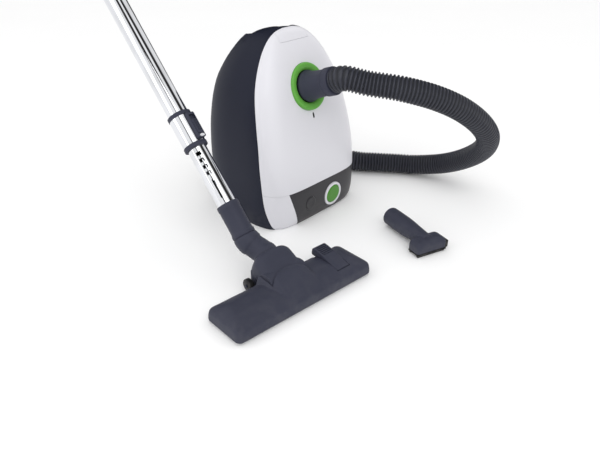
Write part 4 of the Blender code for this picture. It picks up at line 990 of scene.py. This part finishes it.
# %% Head shell
HEAD_WIDTH, HEAD_DEPTH = 0.267, 0.079
HEAD_AT = Matrix.Translation((-0.2285, -0.2685, 0.0)) @ Matrix.Rotation(math.radians(-5.76), 4, "Z")
DRUM = Vector((0.0, 0.0220, 0.0245))
NECK_WAY = Vector((0.0, 0.905, 0.425)).normalized()
NECK_END = DRUM + NECK_WAY * 0.0430
hx, hy = HEAD_WIDTH / 2, HEAD_DEPTH / 2


def rounded(half_x, half_y, radius, z, centre_y=0.0, steps=8):
    """A level ring: a rectangle with round corners."""
    ring, radius = [], min(radius, 0.9 * half_y)
    for k, (sx, sy) in enumerate(((1, 1), (-1, 1), (-1, -1), (1, -1))):
        for i in range(steps + 1):
            angle = math.pi / 2 * (k + i / steps)
            ring.append((sx * (half_x - radius) + radius * math.cos(angle),
                         centre_y + sy * (half_y - radius) + radius * math.sin(angle), z))
    return ring


def relaxed(obj, voxel, turns):
    """Joins and softens a shape: a voxel remesh, then a few turns of smoothing."""
    apply(obj, "REMESH", mode="VOXEL", voxel_size=voxel)
    apply(obj, "SMOOTH", factor=0.5, iterations=turns)
    return obj


levels = ((0.0014, 0.0031, 0.0), (0.0004, 0.0042, 0.0), (0.0, 0.0062, 0.0), (0.0003, 0.0120, 0.0),
          (0.0012, 0.0180, 0.0),
          (0.0022, 0.0205, 0.0003), (0.0042, 0.0222, 0.0008), (0.0080, 0.0241, 0.0016),
          (0.0130, 0.0262, 0.0026),
          (0.0190, 0.0282, 0.0036), (0.0250, 0.0296, 0.0042), (0.0300, 0.0300, 0.0044))
head = rings("head_cover", [rounded(hx - inset * 0.86, hy - inset, 0.0085, z, centre) for inset, z,
                            centre in levels])
tongue = []
for share in (0.0, 0.1, 0.25, 0.4, 0.55, 0.7, 0.85, 1.0):
    v = 0.0360 - 0.0700 * share
    wide = 0.0450 - 0.0080 * share + 0.012 * share ** 3
    high = 0.0448 - 0.0235 * max(0.0, (share - 0.36) / 0.64) ** 1.35
    row = []
    for k in range(24):
        angle = 2 * math.pi * k / 24
        cc, ss = math.cos(angle), math.sin(angle)
        row.append((wide * math.copysign(abs(cc) ** 0.62, cc), v,
                    0.0080 + (high - 0.0080 if ss > 0 else 0.0030) * math.copysign(abs(ss) ** 0.62, ss)))
    tongue.append(row)
carve(head, rings("tongue", tongue), operation="UNION")
relaxed(head, 0.0012, 5)

# %% Cut-outs of the head
drum_turn = frame_at(DRUM, (1, 0, 0), (0, 0, 1))
PEDAL_U = 0.0850
# The seat's facets are turned a little and each cutter reaches past the last, so that no two faces coincide.
past = 0.002
carve(head, block("under", (-hx - past, -2 * hy, -0.05), (hx + past, 2 * hy, 0.00302)),
      block("behind", (-hx - past, hy, -0.05), (hx + past, 2 * hy, 0.08)),
      rod("drum_seat", 0.0205, -0.0368, 0.0368, drum_turn @ Matrix.Rotation(math.radians(1.7), 4, "Z"), 80),
      block("neck_slot", (-0.0369, DRUM.y, -0.01), (0.0369, 0.06, 0.08)),
      block("neck_slot_low", (-0.0370, 0.0, -0.01), (0.0370, 0.06, DRUM.z)),
      block("air_channel", (-0.86 * hx, -0.0225, -0.01), (0.86 * hx, -0.0040, 0.0170)),
      block("air_throat", (-0.0250, -0.0200, 0.0040), (0.0250, 0.0020, 0.0170)),
      block("strip_gap", (-0.86 * hx, -0.0315, -0.01), (0.86 * hx, -0.0250, 0.0175)),
      block("pedal_gap", (PEDAL_U - 0.0134, -0.0240, 0.0190), (PEDAL_U + 0.0134, 0.06, 0.08)))
settle(head, None, HEAD_AT)
finish(head, "floor_head", slate, "slate_plastic", "head_shell", angle=50.0)
sole = from_frame("sole_skin", "sole_plate", 0.0004)
finish(sole, "floor_head", steel, "steel", "sole_plate")

# %% Pedal
pedal_at = HEAD_AT @ Matrix.Translation((PEDAL_U, 0.0080,
                                         0.0270)) @ Matrix.Rotation(math.radians(7), 4, "X")
outline = [(-0.0305, -0.0030), (0.0295, -0.0030), (0.0305, 0.0010), (0.0300, 0.0075), (0.0280, 0.0102),
           (0.0250, 0.0110),
           (0.0190, 0.0109), (0.0100, 0.0100), (0.0, 0.0084), (-0.0100, 0.0065), (-0.0305, 0.0040)]
pedal = slab("rocker_pedal", outline, -0.0128, 0.0128, "X")
apply(pedal, "BEVEL", width=0.0012, segments=3, limit_method="ANGLE", angle_limit=math.radians(40))
for k in range(6):
    y = 0.0045 + 0.0038 * k
    carve(pedal, block("rib_gap", (-0.0104, y, 0.0082), (0.0104, y + 0.0019, 0.02)))
settle(pedal, None, pedal_at)
finish(pedal, "pedal", slate, "slate_plastic", "pedal")

# %% Neck
def oval(centre, way, wide, high, power, count=48):
    z = Vector(way).normalized()
    x = Vector((1, 0, 0))
    y = z.cross(x).normalized()
    ring = []
    for k in range(count):
        angle = 2 * math.pi * k / count
        cc, ss = math.cos(angle), math.sin(angle)
        ring.append(Vector(centre) + x * wide * math.copysign(abs(cc) ** (2 / power), cc)
                    + y * high * math.copysign(abs(ss) ** (2 / power), ss))
    return ring


neck = rod("neck_block", 0.0184, -0.0360, 0.0360, drum_turn, 96)
arm = [oval(DRUM + NECK_WAY * 0.002, NECK_WAY, 0.0353, 0.0168, 4.0),
       oval(DRUM + NECK_WAY * 0.012, NECK_WAY, 0.0360, 0.0175, 4.0),
       oval(DRUM + NECK_WAY * 0.022, NECK_WAY, 0.0360, 0.0186, 3.8),
       oval(DRUM + NECK_WAY * 0.030, NECK_WAY, 0.0354, 0.0206, 3.6),
       oval(DRUM + NECK_WAY * 0.036, NECK_WAY, 0.0343, 0.0221, 3.4),
       oval(DRUM + NECK_WAY * 0.0405, NECK_WAY, 0.0318, 0.0223, 3.0),
       oval(NECK_END, NECK_WAY, 0.0288, 0.0215, 2.8)]
carve(neck, rings("arm", arm), operation="UNION")
for side in (-1, 1):
    carve(neck, block("wheel_leg", (side * 0.0310 - 0.0035, 0.0480, 0.0065),
                      (side * 0.0310 + 0.0035, 0.0620, 0.0330),
                      None, 0.0015), operation="UNION")
relaxed(neck, 0.0010, 5)
axle_turn = frame_at((0, 0.0560, 0.0113), (1, 0, 0), (0, 0, 1))
carve(neck, rod("axle", 0.0025, -0.0490, 0.0490, axle_turn), operation="UNION")
carve(neck, rod("bore", 0.0140, -0.002, 0.06, frame_at(DRUM, NECK_WAY, (1, 0, 0)), 96),
      block("drum_mouth", (-0.0240, DRUM.y - 0.03, DRUM.z - 0.0090),
            (0.0240, DRUM.y + 0.004, DRUM.z + 0.0070)))
settle(neck, None, HEAD_AT)
finish(neck, "neck", slate, "slate_plastic", "neck", angle=50.0)
for side, word in ((-1, "left"), (1, "right")):
    ridged = []
    for k in range(25):
        ridged.append((0.0108 if k % 2 else 0.0103, -0.0032 + 0.0064 * k / 24))
    wheel = turned("floor_wheel_" + word, [(0.0028, -0.0042), (0.0092, -0.0042), (0.0100, -0.0038)] + ridged
                   + [(0.0100, 0.0038), (0.0092, 0.0042), (0.0028, 0.0042)],
                   HEAD_AT @ axle_turn @ Matrix.Translation((0, 0, side * 0.0425)), 48)
    finish(wheel, "head_wheel_" + word, black, "black_plastic", "head_wheel_" + word)

# %% Elbow
foot = HEAD_AT.inverted() @ WAND_AT
way = foot.to_3x3() @ Vector((0, 0, 1))
start, end = NECK_END + NECK_WAY * 0.0003, foot.translation - way * 0.0003
run = (end - start).length


def sweep(line, radii, around, ends):
    """Round rings square to a line, the first and last turned to the ways given."""
    made, side = [], None
    for i, (point, radius) in enumerate(zip(line, radii)):
        ahead = line[min(i + 1, len(line) - 1)] - line[max(i - 1, 0)]
        ahead = ends[0] if i == 0 and ends[0] else ends[1] if i == len(line) - 1 and ends[1] else ahead
        ahead = Vector(ahead).normalized()
        side = side or ahead.orthogonal()
        side = (side - ahead * side.dot(ahead)).normalized()
        other = ahead.cross(side)
        made.append([point + (side * math.cos(2 * math.pi * k / around) + other * math.sin(2 * math.pi * k / around))
                     * radius for k in range(around)])
    return made


def bent(t):
    p1, p2 = start + NECK_WAY * run * 0.36, end - way * run * 0.36
    return start * (1 - t) ** 3 + p1 * 3 * t * (1 - t) ** 2 + p2 * 3 * t * t * (1 - t) + end * t ** 3


ELBOW = ((0.0, 0.0205), (0.06, 0.0209), (0.14, 0.0209), (0.18, 0.0206), (0.22, 0.0197), (0.26, 0.0194),
         (0.36, 0.0193),
         (0.48, 0.0191), (0.58, 0.0190), (0.62, 0.0193), (0.65, 0.0202), (0.69, 0.0206), (0.80, 0.0206),
         (0.90, 0.0203),
         (0.97, 0.0199), (1.0, 0.0192))
elbow = rings("tube_elbow", sweep([bent(t) for t, _ in ELBOW], [r for _, r in ELBOW], 64, (NECK_WAY, way)))
bore = [start - NECK_WAY * 0.01] + [bent(t) for t, _ in ELBOW[1:-1]] + [end + way * 0.01]
carve(elbow, rings("elbow_bore", sweep(bore, [0.0140] * len(bore), 48, (NECK_WAY, way))))
settle(elbow, None, HEAD_AT)
finish(elbow, "lower_wand", slate, "slate_plastic", "elbow")

# %% [markdown]
# ## Brushes
# A strip of bristles is hundreds of hairs set in tufts. A solid block would read as rubber from below, and
# single hairs are too many faces, so one tuft with a few sides is tapered by hand and copied along the strip,
# each copy with its own mesh, before they are joined as one piece and tied to their holder's body.

# %% A row of tufts
random.seed(7)


def tufts(name, spots, low, high, radius, matrix):
    """Tapered tufts that stand between two heights, joined as one piece."""
    made = []
    for x, y in spots:
        bpy.ops.mesh.primitive_cone_add(vertices=7, radius1=radius, radius2=radius * 0.8, depth=high - low,
                                        location=(x, y, (low + high) / 2))
        tuft = bpy.context.active_object
        tuft.rotation_euler = (random.uniform(-0.05, 0.05), random.uniform(-0.05, 0.05),
                               random.uniform(0, 3.1))
        made.append(tuft)
    for tuft in made:
        tuft.select_set(True)
    bpy.context.view_layer.objects.active = made[0]
    bpy.ops.object.join()
    return settle(made[0], name, matrix)


strip = block("strip_holder", (-0.845 * hx, -0.0309, 0.0060), (0.845 * hx, -0.0256, 0.0115), None, 0.0004)
carve(strip, block("clip_groove", (-0.9 * hx, -0.0285, 0.0100), (0.9 * hx, -0.0280, 0.02)))
settle(strip, None, HEAD_AT)
finish(strip, "brush_strip", black, "bristle", "brush_strip")
spots = [(-0.79 * hx + 1.58 * hx * k / 84, -0.02825 + 0.0004 * (-1) ** k) for k in range(85)]
head_tufts = tufts("strip_tufts", spots, 0.0009, 0.0063, 0.0011, HEAD_AT)
finish(head_tufts, "brush_strip", hair, "bristle")

# %% [markdown]
# ## The hand tool
# The small tool is a tapered tube that runs into a flat nozzle, with a push-on brush at one end of it. It is
# joined and relaxed like the floor head, so that the tube flows into the nozzle.

# %% Tool body
TOOL_AT = Matrix.Translation((0.0375, -0.3065, 0.0)) @ Matrix.Rotation(math.radians(160.1), 4, "Z")
lift = math.radians(-1.3)
tool_tube_at = frame_at((0.002, 0.044, 0.0193), (0.0, -math.cos(lift), math.sin(lift)), (1, 0, 0))
tool = turned("hand_tool_body", [
    (0.0, 0.0), (0.0125, 0.0), (0.0132, 0.014), (0.0142, 0.028), (0.0152, 0.040), (0.0162, 0.052),
    (0.0167, 0.062),
    (0.0168, 0.070), (0.0168, 0.1035), (0.0166, 0.1052), (0.0160, 0.106), (0.0, 0.106)], tool_tube_at)
nozzle = rings("nozzle", [
    rounded(0.0296, 0.0131, 0.0045, 0.0060, 0.0450), rounded(0.0303, 0.0138, 0.0048, 0.0072, 0.0450),
    rounded(0.0305, 0.0140, 0.0050, 0.0100, 0.0450), rounded(0.0305, 0.0140, 0.0050, 0.0180, 0.0450),
    rounded(0.0297, 0.0134, 0.0050, 0.0212, 0.0448), rounded(0.0275, 0.0122, 0.0048, 0.0242, 0.0442),
    rounded(0.0240, 0.0106, 0.0044, 0.0264, 0.0436), rounded(0.0190, 0.0085, 0.0040, 0.0276, 0.0430)])
carve(tool, nozzle, operation="UNION")
relaxed(tool, 0.0009, 6)
carve(tool, rod("socket_bore", 0.0110, 0.020, 0.14, tool_tube_at, 96, 0.0150),
      block("throat", (-0.0100, 0.0200, 0.0120), (0.0100, 0.0460, 0.0200)),
      block("mouth", (-0.0260, 0.0400, -0.01), (0.0260, 0.0500, 0.0160)))
settle(tool, None, TOOL_AT)
finish(tool, "hand_tool", slate, "slate_plastic", "tool_body", angle=50.0)

# %% Push-on brush
band = block("brush_band", (-0.0298, 0.0312, 0.0034), (0.0298, 0.0592, 0.0052), None, 0.0006)
carve(band, block("end_clip", (-0.0368, 0.0345, 0.0036), (-0.0308, 0.0555, 0.0168), None, 0.0008),
      block("web", (-0.0340, 0.0380, 0.0036), (-0.0280, 0.0520, 0.0050)), operation="UNION")
carve(band, block("brush_mouth", (-0.0255, 0.0395, -0.01), (0.0255, 0.0505, 0.02)))
settle(band, None, TOOL_AT)
finish(band, "tool_brush", black, "bristle", "tool_brush")
spots = []
for k in range(24):
    x = -0.0275 + 0.055 * k / 23
    spots += [(x, 0.0338), (x, 0.0362), (x, 0.0538), (x, 0.0565)]
spots += [(-0.0350 + 0.0018 * i, 0.0360 + 0.0020 * k) for i in range(3) for k in range(9)]
tool_tufts = tufts("tool_tufts", spots, 0.0002, 0.0040, 0.0010, TOOL_AT)
finish(tool_tufts, "tool_brush", hair, "bristle")

# %% [markdown]
# ## The grip
# The hose ends in a cuff and a curved grip with a bow for the fingers and a small air slider. The grip is a bent
# tube, so it is swept along its bend, joined with its bow and relaxed, then bored.

# %% Grip and its cuff
h = HOSE_DIAMETER / 2
grip_start = HOSE_END + GRIP_WAY * 0.0003
grip_cuff = turned("grip_hose_cuff", [
    (0.0165, 0.0), (h + 0.0026, 0.0), (h + 0.0032, 0.0006), (h + 0.0034, 0.0018), (h + 0.0034, 0.0070),
    (h + 0.0027, 0.0076), (h + 0.0027, 0.0088), (h + 0.0034, 0.0094), (h + 0.0034, 0.0158),
    (h + 0.0024, 0.0170),
    (h + 0.0010, 0.0182), (h + 0.0004, 0.0260), (0.0208, 0.0440), (0.0204, 0.0450), (0.0168, 0.0450),
    (0.0165, 0.0446)],
    frame_at(grip_start, GRIP_WAY, (0, 0, 1)), 96)
finish(grip_cuff, "canister", slate, "hose_dark", "grip_cuff")
joint = grip_start + GRIP_WAY * 0.0453
side = Vector((GRIP_WAY.y, -GRIP_WAY.x, 0.0))
bend = [joint + GRIP_WAY * a - side * b - Vector((0, 0, drop)) for a, b, drop in (
    (0.0, 0.0, 0.0), (0.025, 0.0, 0.0), (0.055, 0.003, 0.0020), (0.085, 0.012,
                                                                 0.0040), (0.113, 0.026, 0.0060),
    (0.141, 0.043, 0.0080), (0.172, 0.063, 0.0090))]
RADII = (0.0215, 0.0200, 0.0185, 0.0180, 0.0175, 0.0165, 0.0155)


def refined(points, radii, parts=4):
    """More points and radii along a bend, on a smooth curve."""
    ends = [points[0] * 2 - points[1]] + list(points) + [points[-1] * 2 - points[-2]]
    line, sizes = [], []
    for i in range(1, len(ends) - 2):
        a, b, c, d = ends[i - 1:i + 3]
        for k in range(parts):
            t = k / parts
            line.append(0.5 * ((2 * b) + (c - a) * t + (2 * a - 5 * b + 4 * c - d) * t * t
                               + (3 * b - a - 3 * c + d) * t ** 3))
            sizes.append(radii[i - 1] + (radii[i] - radii[i - 1]) * t)
    return line + [points[-1]], sizes + [radii[-1]]


line, sizes = refined(bend, RADII)
grip = rings("curved_grip", sweep(line, sizes, 48, (None, None)))
bow = [joint + GRIP_WAY * a + side * -b for a,
       b in ((0.018, 0.012), (0.030, 0.034), (0.060, 0.052), (0.095, 0.062),
                                                     (0.122, 0.058), (0.136, 0.042))]
line, sizes = refined(bow, [0.010, 0.0095, 0.0095, 0.0095, 0.0095, 0.0095])
carve(grip, rings("bow", sweep(line, sizes, 32, (None, None))), operation="UNION")
relaxed(grip, 0.0011, 6)
inner = [bend[0] - GRIP_WAY * 0.01] + bend[1:-1] + [bend[-1] + (bend[-1] - bend[-2]).normalized() * 0.01]
line, sizes = refined(inner, (0.0160, 0.0155, 0.0150, 0.0148, 0.0145, 0.0138, 0.0130))
slot_at = frame_at(joint + GRIP_WAY * 0.040, GRIP_WAY, (0, 0, 1))
carve(grip, rings("grip_bore", sweep(line, sizes, 48, (None, None))),
      block("slider_seat", (0.0168, -0.0082, -0.0165), (0.03, 0.0082, 0.0165), slot_at),
      block("air_hole", (0.005, -0.0035, -0.0070), (0.03, 0.0035, 0.0070), slot_at))
finish(grip, "grip", slate, "slate_plastic", "grip", angle=50.0)
slider = block("air_slide_button", (0.0171, -0.0070, -0.0145), (0.0210, 0.0070, 0.0045), None, 0.0012)
for k in range(4):
    carve(slider, block("finger_groove", (0.0202, -0.0052, -0.0120 + 0.0036 * k),
                        (0.03, 0.0052, -0.0105 + 0.0036 * k)))
settle(slider, None, slot_at)
finish(slider, "air_slider", black, "hose_dark", "air_slider")

# %% [markdown]
# ## Inside the body
# The bag is folded paper: it has a gusset down each side, a flat seam across its foot and creases where it was
# packed. A plain lofted sack has none of those, so every ring of the loft is pulled in at the gussets and along
# a few slanting creases. The filters are cut foam, so their edges are soft.

# %% Dust bag
bag_low, bag_high = (corner.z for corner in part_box("dust_bag"))
SWELL = ((0.0, 0.60), (0.05, 0.78), (0.20, 0.95), (0.45, 0.98), (0.70, 0.92), (0.88, 0.78), (0.97, 0.58),
         (1.0, 0.40))
rows = []
for i in range(73):
    share = i / 72
    z = bag_low + (bag_high - bag_low) * share
    swell = smooth_read(SWELL, share, 1)
    wide, deep = 0.74 * half_width(z) * swell, 0.195 * BODY_DEPTH * swell
    row = []
    for k in range(120):
        angle = 2 * math.pi * k / 120
        c, s = math.cos(angle), math.sin(angle)
        gusset = 0.16 * math.exp(-(s / 0.20) ** 2)
        crease = 0.018 * (0.5 + 0.5 * math.sin(9 * angle + 7 * share)) ** 6
        crease += 0.016 * (0.5 + 0.5 * math.sin(26 * share + 3 * math.sin(2 * angle))) ** 8
        row.append((wide * math.copysign(abs(c) ** 0.7, c) * (1 - gusset - crease),
                    0.004 + deep * math.copysign(abs(s) ** 0.7, s) * (1 - crease), z))
    rows.append(row)
bag = rings("folded_dust_bag", rows)
carve(bag, rod("bag_neck", 0.0223, -0.0698, -0.0200, inlet_at, 64), operation="UNION")
carve(bag, rod("bag_bore", 0.0182, -0.0600, 0.0, inlet_at, 64))
finish(bag, "canister", paper, "bag_paper", "dust_bag", angle=50.0)

# %% Filters
for name, node in (("motor_filter_foam", "motor_filter"), ("exhaust_filter_foam", "exhaust_filter")):
    pad = from_frame(name, node)
    relaxed(pad, 0.0012, 4)
    finish(pad, "canister", foam, "filter_foam", node, angle=50.0)

# %% What keeps its shape
KEPT = {"bag_indicator": window, "inlet_seal": rubber, "motor_mount": rubber, "motor_seal": rubber,
        "cord_outlet": rubber,
        "bulkhead": black, "reel_spindle": black, "filter_frame": slate, "motor_housing": slate,
        "cord_reel": slate,
        "bag_holder": slate, "impeller": steel, "exhaust_grille": navy, "bag_collar": paper}
for name, material in KEPT.items():
    for slot in frame["nodes"][name].material_slots:
        slot.material = material
left = [name for name, node in frame["nodes"].items() if not node.hide_render and name not in KEPT]
print("CAD nodes with no finish of their own:", left)

# %% [markdown]
# ## Floor and light
# A white sweep and large soft lights show a dark product without hard shadows.

# %% Stage
bpy.ops.mesh.primitive_plane_add(size=60.0, location=(0, 0, -0.0004))
floor = bpy.context.active_object
floor.name = "floor"
f = Finish("pale_floor")
f.set(Base_Color=f.between(rgb(0.95, 0.95, 0.95), rgb(0.97, 0.97, 0.97), f.noise(3.0)))
f.set(Roughness=0.9, Specular_IOR_Level=0.1)
floor.data.materials.append(f.material)

# %% [markdown]
# ## The studio
# Chrome shows what stands round it. In an all-white room a tube looks like white plastic, so the room that
# mirrors see has dark screens between its white walls, as a studio does. What lights the object and the floor
# stays an even white.

# %% Room
world = bpy.data.worlds.new("studio")
scene.world = world
world.use_nodes = True
tree = world.node_tree
background = tree.nodes["Background"]


def room(kind, sockets=None, **settings):
    """Adds one node to the room and links its inputs."""
    made = tree.nodes.new(kind)
    for key, value in settings.items():
        setattr(made, key, value)
    for key, value in (sockets or {}).items():
        if isinstance(value, bpy.types.NodeSocket):
            tree.links.new(value, made.inputs[key])
        else:
            made.inputs[key].default_value = value
    return made


way = room("ShaderNodeSeparateXYZ", {0: room("ShaderNodeTexCoord").outputs["Generated"]}).outputs
turn = room("ShaderNodeMath", {0: way["Y"], 1: way["X"]}, operation="ARCTAN2").outputs[0]
walls = room("ShaderNodeValToRGB", {0: room("ShaderNodeMapRange", {
    "Value": turn, "From Min": -math.pi, "From Max": math.pi}).outputs[0]})
ramp = walls.color_ramp
WALLS = ((0.0, 1.0), (0.055, 1.0), (0.075, 0.03), (0.165, 0.03), (0.185, 1.0), (0.300, 1.0), (0.320, 0.03),
         (0.420, 0.03), (0.445, 0.9), (0.535, 0.9), (0.560, 0.03), (0.72, 0.03), (0.745, 1.0), (1.0, 1.0))
for at, shade in WALLS[1:-1]:
    ramp.elements.new(at)
for element, (at, shade) in zip(ramp.elements, WALLS):
    element.position, element.color = at, (shade, shade, shade, 1.0)
mirror = room("ShaderNodeLightPath").outputs["Is Glossy Ray"]
seen = room("ShaderNodeMix", {0: mirror, 6: (1.0, 1.0, 1.0, 1.0), 7: walls.outputs[0]}, data_type="RGBA")
tree.links.new(seen.outputs[2], background.inputs["Color"])
background.inputs["Strength"].default_value = 1.0


def soft_light(name, place, target, size, power):
    data = bpy.data.lights.new(name, "AREA")
    data.shape, data.size, data.size_y, data.energy = "RECTANGLE", size[0], size[1], power
    made = bpy.data.objects.new(name, data)
    made.location = place
    made.rotation_euler = (Vector(target) - Vector(place)).to_track_quat("-Z", "Y").to_euler()
    scene.collection.objects.link(made)


soft_light("key", (-1.2, -1.6, 2.0), (0, 0, 0.1), (1.6, 1.6), 13.0)
soft_light("left", (-2.2, 0.6, 1.2), (0, 0, 0.2), (0.8, 1.8), 5.0)
